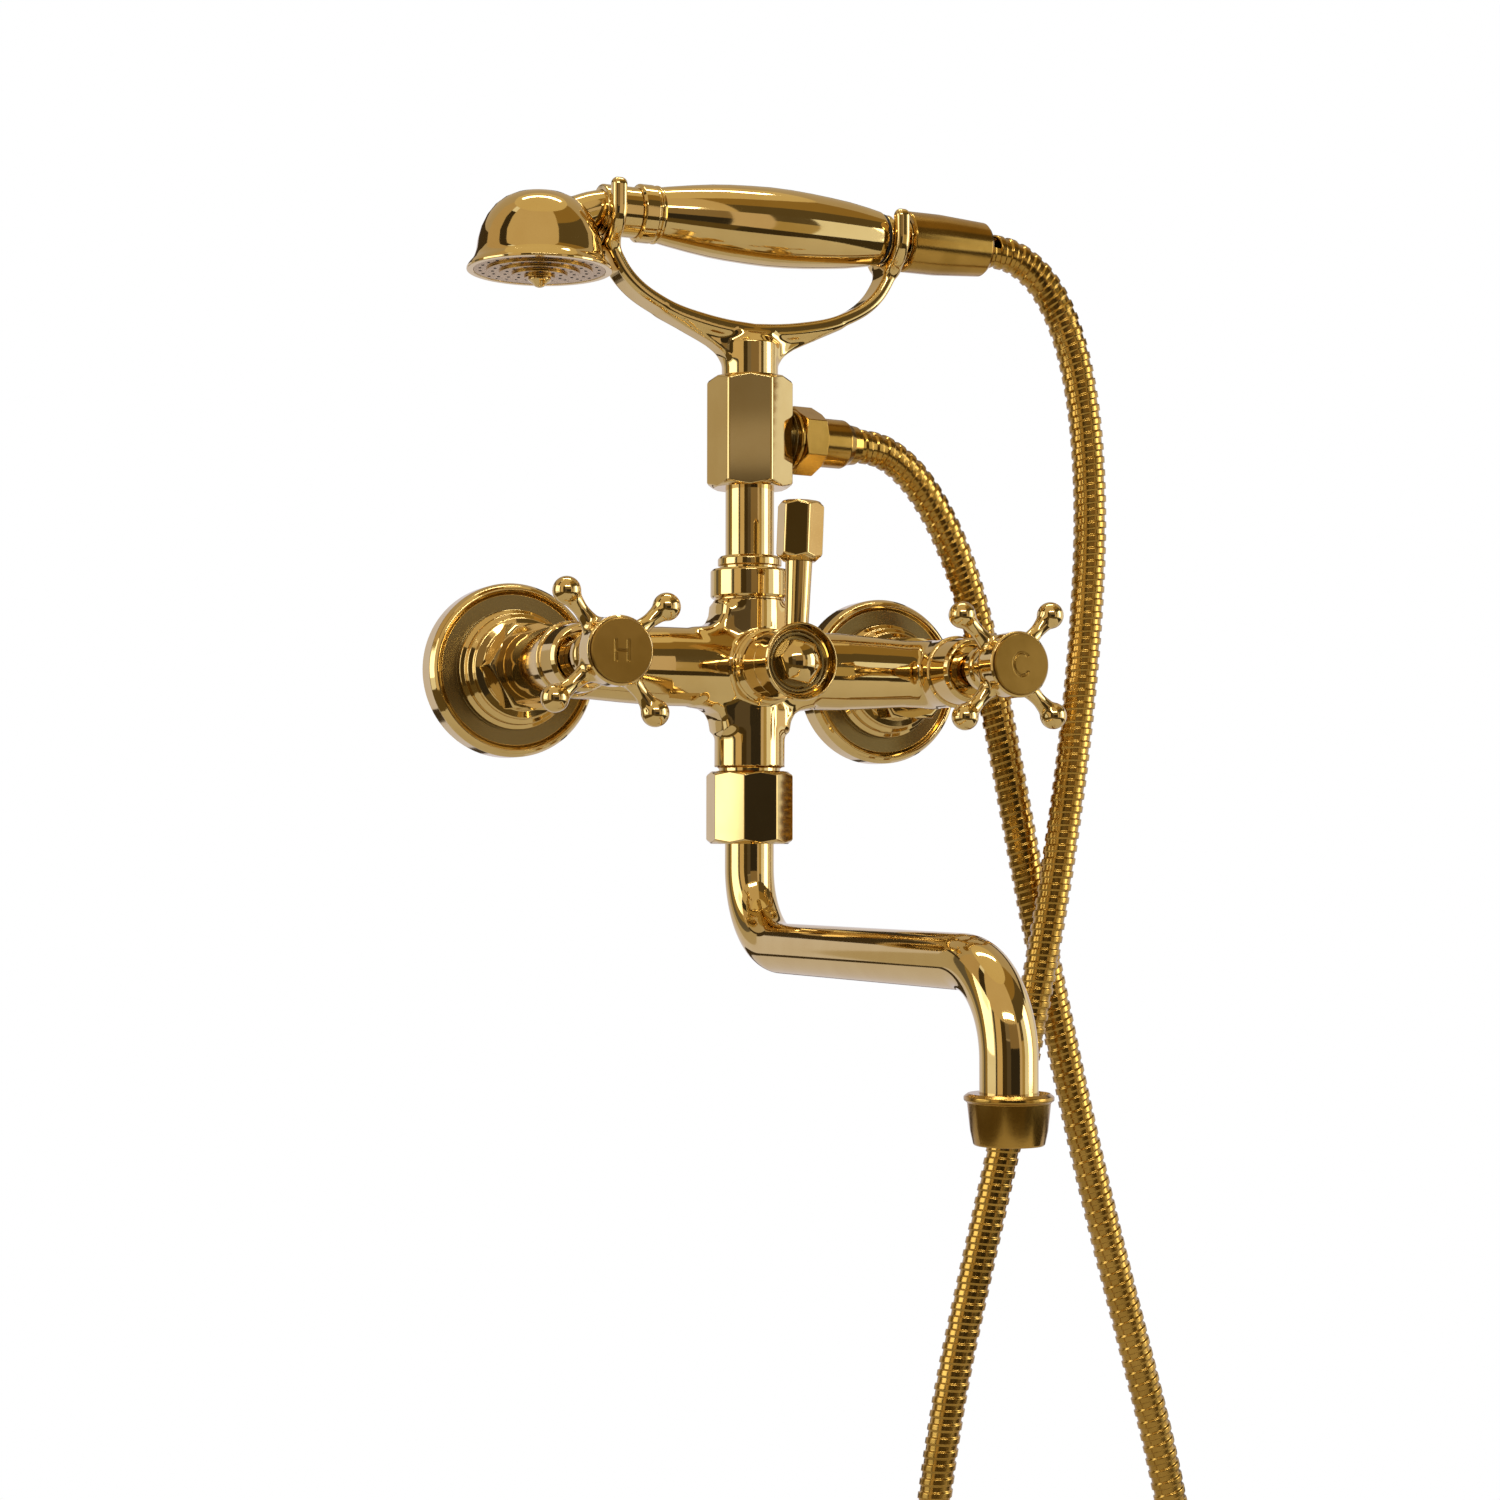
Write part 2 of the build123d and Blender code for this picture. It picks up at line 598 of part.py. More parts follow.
outlet_place = sideways(outlet_height, turn=block_turn)
outlet_dir = outlet_place.y_dir
block_face = block_flats / 2
spotface_at = block_face - spotface_depth
with BuildPart() as union_block:
    with BuildSketch(Plane(origin=(0, axis_y, block_bottom), x_dir=(1, 0, 0), z_dir=(0, 0, 1))):
        RegularPolygon(block_flats / 2, 6, major_radius=False, rotation=30 + block_turn)
    extrude(amount=block_height)
    with BuildSketch(upright(z=block_bottom)):
        with BuildLine():
            Polyline(
                (0, 0), (block_flats / 2 + 0.2, 0), (block_flats * 0.58, 2.0), (block_flats * 0.58, block_height - 2.0),
                (block_flats / 2 + 0.2, block_height), (0, block_height), close=True,
            )
        make_face()
    revolve(axis=Axis((0, axis_y, 0), (0, 0, 1)), mode=Mode.INTERSECT)
    with BuildSketch(Plane(origin=(0, axis_y, block_bottom), x_dir=(1, 0, 0), z_dir=(0, 0, 1))):
        Circle(riser_radius + joint_gap)
    extrude(amount=block_socket, mode=Mode.SUBTRACT)
    with BuildSketch(Plane(origin=(0, axis_y, pipe_top), x_dir=(1, 0, 0), z_dir=(0, 0, 1))):
        Circle(riser_bore)
    extrude(amount=block_top - cradle_spigot - 3 - pipe_top, mode=Mode.SUBTRACT)
    with BuildSketch(Plane(origin=(0, axis_y, block_top), x_dir=(1, 0, 0), z_dir=(0, 0, -1))):
        Circle(cradle_spigot_radius + joint_gap)
    extrude(amount=cradle_spigot, mode=Mode.SUBTRACT)
    with BuildSketch(Plane(origin=outlet_place.origin + outlet_dir * spotface_at, x_dir=(0, 0, 1), z_dir=outlet_dir)):
        Circle(spotface_radius)
    extrude(amount=spotface_depth + 5, mode=Mode.SUBTRACT)
    with BuildSketch(Plane(origin=outlet_place.origin, x_dir=(0, 0, 1), z_dir=outlet_dir)):
        Circle(nipple_bore)
    extrude(amount=block_flats, mode=Mode.SUBTRACT)
finish(union_block, "union_block")

ferrule_start = hose_nut_start + hose_collar_length + hose_nut_length
hose_start = ferrule_start + hose_ferrule_length
nipple_end = ferrule_start - 4.0
finish(turned(outlet_place, [
    (nipple_bore, spotface_at), (nipple_radius, spotface_at), (nipple_radius, nipple_end), (nipple_bore, nipple_end),
]), "hose_nipple")
finish(turned(outlet_place, [
    (nipple_bore, nipple_end), (nipple_radius - 0.6, nipple_end), (nipple_radius - 0.6, nipple_end + washer_thickness),
    (nipple_bore, nipple_end + washer_thickness),
]), "hose_washer")
hose_tail_start = nipple_end + washer_thickness
with BuildPart() as hose_nut:
    add(prism_nut(outlet_place, 6, hose_nut_flats, hose_nut_start + hose_collar_length, hose_nut_length,
                  nipple_radius + joint_gap, 1.4).part)
    with BuildSketch(outlet_place):
        with BuildLine():
            Polyline(
                (nipple_radius + joint_gap, hose_nut_start), (hose_collar_radius - 0.4, hose_nut_start),
                (hose_collar_radius, hose_nut_start + 0.4), (hose_collar_radius, hose_nut_start + hose_collar_length),
                (nipple_radius + joint_gap, hose_nut_start + hose_collar_length), close=True,
            )
        make_face()
    revolve(axis=Axis(outlet_place.origin, outlet_dir))
    with BuildSketch(outlet_place):
        with BuildLine():
            Polyline(
                (hose_radius + 0.65, ferrule_start - 1.4), (nipple_radius + 0.6, ferrule_start - 1.4),
                (nipple_radius + 0.6, ferrule_start), (hose_radius + 0.65, ferrule_start), close=True,
            )
        make_face()
    revolve(axis=Axis(outlet_place.origin, outlet_dir))
finish(hose_nut, "hose_nut")
finish(turned(outlet_place, [
    (nipple_bore - 0.6, hose_tail_start), (nipple_radius - 0.3, hose_tail_start),
    (nipple_radius - 0.3, ferrule_start - 1.5), (hose_radius + 0.6, ferrule_start - 1.5),
    (hose_radius + 0.6, ferrule_start + 0.05), (hose_ferrule_radius, ferrule_start + 0.05),
    (hose_ferrule_radius, ferrule_start + hose_ferrule_shoulder), (hose_radius + 1.2, ferrule_start + hose_ferrule_shoulder + 2.6), (hose_radius + 0.7, hose_start),
    (nipple_bore - 0.6, hose_start),
]), "hose_ferrule")

# ---- cradle: stem, curved bar with gussets, two upright forks ----
bar_middle = cradle_floor - cradle_bar_thickness / 2
arm_rise = handset_height - saddle_radius - fork_thickness / 2 - bar_middle
gusset_rise = arm_rise * 0.17
gusset_root = bar_middle - cradle_root
with BuildPart() as cradle:
    with BuildSketch(upright()):
        with BuildLine():
            Polyline((0, block_top - cradle_spigot), (cradle_spigot_radius, block_top - cradle_spigot),
                     (cradle_spigot_radius, block_top), (cradle_stem_radius, block_top),
                     (cradle_stem_radius, bar_middle - cradle_bar_thickness), (0, bar_middle), close=True)
        make_face()
    revolve(axis=Axis((0, axis_y, 0), (0, 0, 1)))
    with BuildLine() as bar_line:
        half_bar = [(arm_middle, 0.11), (fork_x - shoulder_out, 0.33), (fork_x - elbow_out, 0.65), (fork_x, 1.0)]
        left_arm = [(-x, axis_y, bar_middle + arm_rise * rise) for x, rise in reversed(half_bar)]
        right_arm = [(x, axis_y, bar_middle + arm_rise * rise) for x, rise in half_bar]
        Spline(*left_arm, (0, axis_y, bar_middle), *right_arm)
    with BuildSketch(Plane(origin=bar_line.line @ 0, x_dir=(0, 1, 0), z_dir=bar_line.line % 0)):
        RectangleRounded(cradle_bar_width, cradle_bar_thickness, 1.9)
    sweep(path=bar_line.line)
    with BuildSketch(Plane(origin=(0, axis_y + gusset_width / 2, 0), x_dir=(1, 0, 0), z_dir=(0, -1, 0))):
        with BuildLine():
            Polyline((-gusset_reach, bar_middle + gusset_rise), (-gusset_middle, bar_middle - gusset_depth),
                     (-cradle_stem_radius, gusset_root), (cradle_stem_radius, gusset_root),
                     (gusset_middle, bar_middle - gusset_depth), (gusset_reach, bar_middle + gusset_rise),
                     (0, bar_middle), close=True)
        make_face()
    extrude(amount=gusset_width)
    for x in (-fork_x, fork_x):
        with BuildSketch(Plane(origin=(x - fork_width / 2, axis_y, handset_height), x_dir=(0, 1, 0), z_dir=(1, 0, 0))):
            Circle(saddle_radius + fork_thickness)
            Circle(saddle_radius, mode=Mode.SUBTRACT)
            with Locations((0, saddle_radius + fork_thickness)):
                Rectangle(4 * saddle_radius, 2 * (saddle_radius + fork_thickness), mode=Mode.SUBTRACT)
            prong = fork_prong + fork_thickness
            prong_y = saddle_radius + fork_thickness / 2
            with Locations(*((side * prong_y, fork_prong - prong / 2) for side in (-1, 1))):
                RectangleRounded(fork_thickness, prong, fork_thickness * 0.48)
        extrude(amount=fork_width)
finish(cradle, "cradle")

# ---- handset: head, spray plate, button, neck, ferrule, grip, seal, tail, hose sleeve ----
handset_place = sideways(handset_height)
head_place = upright(x=head_x)
head_rim_z = handset_height - head_drop
head_top_z = handset_height + head_rise
neck_start_x = grip_left - ferrule_length
bend_x = neck_start_x - 13.0
rest_left = -fork_x - fork_width / 2
neck_path_end = (head_x + 9.0, axis_y, handset_height - 5.4)


def bell(reduce, top, bottom):
    return [
        (0, top), (head_bell_radius * 0.53 - reduce, top - 2.3), (head_bell_radius * 0.85 - reduce, top - 8.2),
        (head_bell_radius - reduce, top - 16.6), (head_bell_radius + 0.1 - reduce, bottom + 6.0),
        (head_rim_radius - reduce * 1.2, bottom + 0.8),
    ]


outer_bell = bell(0, head_top_z, head_rim_z)
inner_bell = bell(head_wall, head_top_z - head_wall, head_rim_z)
with BuildPart() as handset_head:
    with BuildSketch(head_place):
        with BuildLine():
            Spline(*outer_bell, tangents=((1, 0), (0.5, -1)))
            Polyline(outer_bell[-1], (head_rim_radius, head_rim_z), (plate_radius + joint_gap, head_rim_z),
                     (plate_radius + joint_gap, head_rim_z + plate_thickness), inner_bell[-2])
            Spline(*reversed(inner_bell[:-1]), tangents=((0, 1), (-1, 0)))
            Line((0, head_top_z - head_wall), (0, head_top_z))
        make_face()
    revolve(axis=Axis((head_x, axis_y, 0), (0, 0, 1)))
    neck_dir = Vector(bend_x, axis_y, handset_height) - Vector(*neck_path_end)
    with BuildSketch(Plane(origin=neck_path_end, x_dir=(0, 1, 0), z_dir=neck_dir)):
        Circle(neck_tube_radius + joint_gap)
    extrude(amount=neck_dir.length + 4, mode=Mode.SUBTRACT)
finish(handset_head, "handset_head")

plate_outline = [(0, head_rim_z + plate_thickness), (plate_radius, head_rim_z + plate_thickness),
                 (plate_radius, head_rim_z + 0.2)]
ring_width = (plate_radius - button_radius - 1.4) / plate_steps
for k in range(plate_steps):
    inner = plate_radius - ring_width * (k + 1)
    plate_outline.append((inner, head_rim_z + 0.2 - plate_step * k))
    plate_outline.append((inner, head_rim_z + 0.2 - plate_step * (k + 1)))
plate_floor = head_rim_z + 0.2 - plate_step * plate_steps
plate_outline.append((0, plate_floor))
finish(turned(head_place, plate_outline), "spray_plate")
finish(turned(head_place, [
    (0, plate_floor), (button_radius, plate_floor), (button_radius, plate_floor - 0.7),
    (button_radius - 1.6, plate_floor - 2.0), (button_radius - 2.8, plate_floor - button_drop + 0.3),
    (0, plate_floor - button_drop),
]), "spray_button")

with BuildPart() as handset_neck:
    with BuildLine() as neck_path:
        FilletPolyline((neck_start_x, axis_y, handset_height), (bend_x, axis_y, handset_height), neck_path_end, radius=30)
    with BuildSketch(Plane(origin=(neck_start_x, axis_y, handset_height), x_dir=(0, 1, 0), z_dir=(-1, 0, 0))):
        Circle(neck_tube_radius)
        Circle(handset_bore, mode=Mode.SUBTRACT)
    sweep(path=neck_path.line)
    with BuildSketch(handset_place):
        with BuildLine():
            Polyline((neck_tube_radius - 0.4, neck_start_x), (rest_radius, neck_start_x), (rest_radius, rest_left),
                     (neck_tube_radius - 0.4, rest_left), close=True)
        make_face()
    revolve(axis=Axis((0, axis_y, handset_height), (1, 0, 0)))
finish(handset_neck, "handset_neck")

finish(turned(handset_place, [
    (handset_bore, neck_start_x), (ferrule_radius - 0.8, neck_start_x), (ferrule_radius, neck_start_x + 0.8),
    (ferrule_radius, grip_left - 2.2), (ferrule_radius - 0.7, grip_left - 1.8), (ferrule_radius - 0.7, grip_left - 1.2),
    (ferrule_radius, grip_left - 0.8), (ferrule_radius, grip_left), (handset_bore, grip_left),
]), "handset_ferrule")

grip_span = grip_right - grip_left
with BuildPart() as handset_grip:
    with BuildSketch(handset_place):
        with BuildLine():
            Line((grip_bore, grip_left), (grip_end_radius - 0.5, grip_left))
            Spline(
                (grip_end_radius - 0.5, grip_left), (grip_end_radius + 1.9, grip_left + grip_span * 0.15),
                (grip_mid_radius - 0.7, grip_left + grip_span * 0.31), (grip_mid_radius, grip_left + grip_span * 0.49),
                (grip_mid_radius - 0.6, grip_left + grip_span * 0.67),
                (grip_tail_radius + 2.4, grip_left + grip_span * 0.85), (grip_tail_radius, grip_right - 0.4),
            )
            Polyline((grip_tail_radius, grip_right - 0.4), (grip_tail_radius - 0.6, grip_right),
                     (grip_bore, grip_right), (grip_bore, grip_left))
        make_face()
    revolve(axis=Axis((0, axis_y, handset_height), (1, 0, 0)))
finish(handset_grip, "handset_grip")

seal_end = grip_right + seal_thickness
finish(turned(handset_place, [
    (handset_bore, grip_left), (grip_bore, grip_left), (grip_bore, grip_right), (handset_bore, grip_right),
]), "grip_tube")
finish(turned(handset_place, [
    (handset_bore, grip_right), (grip_tail_radius - 0.5, grip_right), (grip_tail_radius - 0.5, seal_end),
    (handset_bore, seal_end),
]), "grip_seal")
sleeve_thread_end = sleeve_left + 12.0
finish(turned(handset_place, [
    (handset_bore, seal_end), (rest_radius - 0.3, seal_end), (rest_radius, seal_end + 0.4),
    (rest_radius, seal_end + tail_ring - 0.4), (rest_radius - 0.4, seal_end + tail_ring),
    (tail_neck_radius, seal_end + tail_ring + 0.6), (tail_neck_radius, sleeve_left - 0.6),
    (tail_thread_radius, sleeve_left), (tail_thread_radius, sleeve_thread_end), (handset_bore, sleeve_thread_end),
]), "handset_tail")
sleeve_bore = sleeve_radius - sleeve_wall
finish(turned(handset_place, [
    (sleeve_bore, sleeve_left), (sleeve_radius - 0.5, sleeve_left), (sleeve_radius, sleeve_left + 0.6),
    (sleeve_radius, sleeve_left + 14.0), (sleeve_end_radius, sleeve_right - 1.2), (sleeve_end_radius - 1.0, sleeve_right),
    (handset_bore, sleeve_right), (handset_bore, sleeve_right - 14.0), (sleeve_bore, sleeve_right - 15.0),
]), "hose_sleeve")
finish(turned(handset_place, [
    (handset_bore, sleeve_thread_end), (tail_thread_radius, sleeve_thread_end),
    (tail_thread_radius, sleeve_thread_end + washer_thickness), (handset_bore, sleeve_thread_end + washer_thickness),
]), "sleeve_washer")

# ---- spout: octagonal nut, washer, bent pipe, outlet collar, aerator ----
spout_place = upright()
nut_floor = neck_end + spout_washer + spout_flange + seat_gap
with BuildPart() as spout_nut:
    add(prism_nut(upright(z=-spout_nut_top - spout_nut_length), 8, spout_nut_flats, 0, spout_nut_length,
                  spout_radius + joint_gap, 1.5, turn=14.2).part)
    with BuildSketch(Plane(origin=(0, axis_y, -spout_nut_top), x_dir=(1, 0, 0), z_dir=(0, 0, -1))):
        Circle(neck_spigot_radius + joint_gap)
    extrude(amount=nut_floor - spout_nut_top, mode=Mode.SUBTRACT)
finish(spout_nut, "spout_nut")
flange_top = neck_end + spout_washer
finish(turned(spout_place, [
    (spout_bore, -neck_end), (spout_flange_radius - 0.2, -neck_end), (spout_flange_radius - 0.2, -flange_top + 0.05),
    (spout_bore, -flange_top + 0.05),
]), "spout_washer")
outlet_y = axis_y - spout_reach
with BuildPart() as spout_pipe:
    with BuildLine() as spout_path:
        FilletPolyline((0, axis_y, -flange_top), (0, axis_y, -spout_drop), (0, outlet_y, -spout_drop),
                       (0, outlet_y, -spout_end), radius=spout_bend)
    with BuildSketch(Plane(origin=(0, axis_y, -flange_top), x_dir=(1, 0, 0), z_dir=(0, 0, -1))):
        Circle(spout_radius)
        Circle(spout_bore, mode=Mode.SUBTRACT)
    sweep(path=spout_path.line)
    with BuildSketch(Plane(origin=(0, axis_y, -flange_top), x_dir=(1, 0, 0), z_dir=(0, 0, -1))):
        Circle(spout_flange_radius)
        Circle(spout_radius - 0.5, mode=Mode.SUBTRACT)
    extrude(amount=spout_flange)
finish(spout_pipe, "spout_pipe")
finish(turned(upright(y=outlet_y), [
    (spout_radius, -collar_top), (collar_top_radius - 1.4, -collar_top), (collar_top_radius, -collar_top - 1.0),
    (collar_top_radius, -collar_top - collar_lip + 0.6), (collar_top_radius - 1.2, -collar_top - collar_lip),
    (collar_bottom_radius + 0.9, -collar_bottom + 4.4), (collar_bottom_radius, -collar_bottom + 0.4),
    (collar_bottom_radius - 0.4, -collar_bottom), (aerator_radius, -collar_bottom), (aerator_radius, -spout_end),
    (spout_radius, -spout_end),
]), "spout_collar")
finish(turned(upright(y=outlet_y), [
    (0, -collar_bottom + aerator_length + 1.0), (aerator_radius, -collar_bottom + aerator_length + 1.0),
    (aerator_radius, -collar_bottom + 1.0), (0, -collar_bottom + 1.0),
]), "aerator")

# ---- hose: one metal hose from the block's outlet, down in a loop and up to the handset ----
outlet_end = outlet_place.origin + outlet_dir * hose_start
hose_route = [
    (sleeve_right, 0, handset_height), (105.0, 0, handset_height), (113.8, -0.6, 156.9), (121.9, -1.6, 149.6),
    (129.3, -2.8, 136.5), (135.0, -4.0, 117.5), (138.4, -5.2, 92.0), (138.9, -6.6, 58.0), (135.8, -7.8, 18.0),
    (130.0, -8.8, -26.0), (122.3, -9.2, -72.0), (112.8, -8.8, -119.0), (101.8, -7.6, -167.5), (89.8, -5.8, -216.0),
    (78.6, -4.0, -264.0), (71.4, -2.6, -311.6), (68.2, -1.4, -360.7), (67.6, -0.6, -408.7), (69.6, -0.2, -455.1),
    (75.0, 0, -497.3), (85.6, 0, -531.6), (105.0, 0, -556.9), (131.5, 0, -566.9), (158.5, 0, -559.5),
    (179.0, 0, -536.3), (189.5, 0.4, -499.4), (193.6, 1.2, -454.0), (193.2, 2.4, -405.5), (188.2, 3.8, -355.9),
    (178.4, 5.2, -303.7), (165.4, 6.4, -255.5), (152.0, 7.4, -208.0), (139.9, 8.2, -161.0), (128.8, 8.6, -114.5),
    (118.8, 8.8, -69.5), (109.8, 8.8, -26.5), (101.2, 8.6, 11.0), (91.9, 8.2, 39.5), (82.2, 7.6, 59.0),
    (71.6, 6.9, 73.0), (62.0, 6.2, 80.4),
]
route = [Vector(x, axis_y + y, z) for x, y, z in hose_route]
route.append(outlet_end + outlet_dir * 8.8)
route.append(outlet_end)
runs = [(b - a).length for a, b in zip(route, route[1:])]
bends = []
for k in range(1, len(route) - 1):
    turn = (route[k] - route[k - 1]).get_angle(route[k + 1] - route[k])
    bends.append(0.45 * min(runs[k - 1], runs[k]) / tan(radians(turn / 2)))
print("hose bend radii", [round(r, 1) for r in bends])
with BuildPart() as flexible_hose:
    with BuildLine() as hose_path:
        FilletPolyline(*route, radius=bends)
    with BuildSketch(Plane(origin=route[0], x_dir=(0, 1, 0), z_dir=(1, 0, 0))):
        Circle(hose_radius)
    sweep(path=hose_path.line)
finish(flexible_hose, "flexible_hose")
hose_length = sum(edge.length for edge in hose_path.line.edges())
print("hose length", round(hose_length, 1), "volume ratio", round(
    flexible_hose.part.volume / (3.14159265 * hose_radius**2 * hose_length), 4))
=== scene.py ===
import json
import math

import bpy
import numpy as np
from mathutils import Matrix, Vector


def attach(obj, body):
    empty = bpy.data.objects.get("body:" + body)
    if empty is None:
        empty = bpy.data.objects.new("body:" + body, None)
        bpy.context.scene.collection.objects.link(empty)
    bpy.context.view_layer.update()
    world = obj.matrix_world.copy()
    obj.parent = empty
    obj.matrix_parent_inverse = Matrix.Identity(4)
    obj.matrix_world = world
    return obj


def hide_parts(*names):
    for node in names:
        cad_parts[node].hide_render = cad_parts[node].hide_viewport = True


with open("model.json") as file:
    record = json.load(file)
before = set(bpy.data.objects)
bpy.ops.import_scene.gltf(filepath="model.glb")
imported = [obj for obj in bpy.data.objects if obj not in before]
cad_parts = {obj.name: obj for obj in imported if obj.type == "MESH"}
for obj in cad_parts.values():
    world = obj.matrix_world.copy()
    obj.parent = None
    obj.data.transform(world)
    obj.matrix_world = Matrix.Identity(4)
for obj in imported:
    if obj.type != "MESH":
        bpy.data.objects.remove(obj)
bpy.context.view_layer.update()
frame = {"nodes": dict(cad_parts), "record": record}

mm = 0.001

# Camera
cameraData = bpy.data.cameras.new("camera")
cameraData.lens = 65.34
cameraData.sensor_width = 36.0
camera = bpy.data.objects.new("camera", cameraData)
bpy.context.collection.objects.link(camera)
right = Vector((0.909941, -0.414735, 0.001179))
up = Vector((-0.017338, -0.035199, 0.999230))
forward = Vector((0.414374, 0.909261, 0.039219))
cameraSpot = (-0.40421, -0.93739, -0.06732)
camera.matrix_world = Matrix.Translation(cameraSpot) @ Matrix((right, up, -forward)).transposed().to_4x4()
bpy.context.scene.camera = camera
scene = bpy.context.scene
scene.view_settings.view_transform = "Standard"
print("camera ready")


# Mesh helpers: every builder returns (vertices in mm, normals, faces, material index per face)


# an axis in space: distances t run along it and radii around it
class Place:
    def __init__(self, origin, axis):
        self.origin = Vector(origin)
        self.axis = Vector(axis).normalized()
        reference = Vector((1, 0, 0)) if abs(self.axis.x) < 0.9 else Vector((0, 0, 1))
        self.u = (reference - self.axis * reference.dot(self.axis)).normalized()
        self.v = self.axis.cross(self.u)

    def point(self, x, y, t):
        return self.origin + self.u * x + self.v * y + self.axis * t

    def direction(self, x, y, t):
        return self.u * x + self.v * y + self.axis * t


def signedArea(points):
    return sum(a[0] * b[1] - b[0] * a[1] for a, b in zip(points, points[1:] + points[:1])) / 2


# replaces each corner by an arc. A point is (r, t), (r, t, corner radius) or (r, t, corner radius, material)
def roundedOutline(points, radius, closed):
    sign = 1 if signedArea([p[:2] for p in points]) > 0 else -1
    count = len(points)
    result = []
    material = 0
    for i, point in enumerate(points):
        here = Vector(point[:2])
        want = point[2] if len(point) > 2 and point[2] is not None else radius
        before = Vector(points[i - 1][:2]) if closed or i else None
        after = Vector(points[(i + 1) % count][:2]) if closed or i < count - 1 else None
        inward = (here - before).normalized() if before else (after - here).normalized()
        outward = (after - here).normalized() if after else inward
        firstNormal = Vector((inward.y, -inward.x)) * sign
        lastNormal = Vector((outward.y, -outward.x)) * sign
        turn = math.atan2(inward.x * outward.y - inward.y * outward.x, inward.dot(outward))
        afterMaterial = point[3] if len(point) > 3 else material
        if before is None or after is None or abs(turn) < math.radians(14):
            normal = (firstNormal + lastNormal).normalized()
            result.append((here.x, here.y, normal.x, normal.y, afterMaterial))
        else:
            half = math.tan(abs(turn) / 2)
            reach = min(want * half, 0.45 * (here - before).length, 0.45 * (after - here).length)
            corner = reach / half
            bend = 1 if turn * sign > 0 else -1
            start = here - inward * reach
            centre = start - firstNormal * corner * bend
            steps = max(2, math.ceil(abs(turn) / math.radians(24)))
            for k in range(steps + 1):
                angle = turn * k / steps
                cosine, sine = math.cos(angle), math.sin(angle)
                normal = Vector((firstNormal.x * cosine - firstNormal.y * sine,
                                 firstNormal.x * sine + firstNormal.y * cosine))
                spot = centre + normal * corner * bend
                result.append((spot.x, spot.y, normal.x, normal.y, afterMaterial if k == steps else material))
        material = afterMaterial
    return result


def gridFaces(rows, columns, closeRows, materials):
    faces, indices = [], []
    for i in range(rows if closeRows else rows - 1):
        for j in range(columns):
            a, b = i * columns + j, i * columns + (j + 1) % columns
            c, d = ((i + 1) % rows) * columns + (j + 1) % columns, ((i + 1) % rows) * columns + j
            faces.append((a, b, c, d))
            indices.append(materials[i])
    return faces, indices


# a turned shell. The outline is closed, or runs from the axis to the axis
def lathe(place, outline, radius=0.25, steps=72):
    closed = not (outline[0][0] == 0 and outline[-1][0] == 0)
    profile = roundedOutline(outline, radius, closed)
    vertices, normals = [], []
    for r, t, nr, nt, _ in profile:
        for j in range(steps):
            angle = 2 * math.pi * j / steps
            c, s = math.cos(angle), math.sin(angle)
            vertices.append(place.point(max(r, 0.001) * c, max(r, 0.001) * s, t))
            normals.append(place.direction(nr * c, nr * s, nt))
    faces, indices = gridFaces(len(profile), steps, closed, [p[4] for p in profile])
    return orient(vertices, normals, faces, indices)


# turns every face to the side its normals point to
def orient(vertices, normals, faces, indices):
    turned = []
    for face in faces:
        a, b, c = (vertices[k] for k in face[:3])
        d = vertices[face[-1]]
        cross = (c - a).cross(d - b)
        turned.append(face if cross.dot(normals[face[0]] + normals[face[2]]) > 0 else tuple(reversed(face)))
    return vertices, normals, turned, indices


# points and normals around a regular polygon with rounded corners. A corner points along turn
def polygonRing(sides, flats, turn, corner, arcSteps=5, flatSteps=3):
    ring = []
    apothem = flats / 2
    reach = corner * math.tan(math.pi / sides)
    half = apothem * math.tan(math.pi / sides)
    for k in range(sides):
        normalAngle = turn + (2 * k + 1) * math.pi / sides
        n = Vector((math.cos(normalAngle), math.sin(normalAngle)))
        along = Vector((-n.y, n.x))
        for j in range(flatSteps):
            ring.append((n * apothem + along * ((half - reach) * (2 * j / (flatSteps - 1) - 1)), n))
        centre = n * (apothem - corner) + along * (half - reach)
        for j in range(1, arcSteps):
            angle = normalAngle + 2 * math.pi / sides * j / arcSteps
            normal = Vector((math.cos(angle), math.sin(angle)))
            ring.append((centre + normal * corner, normal))
    return ring


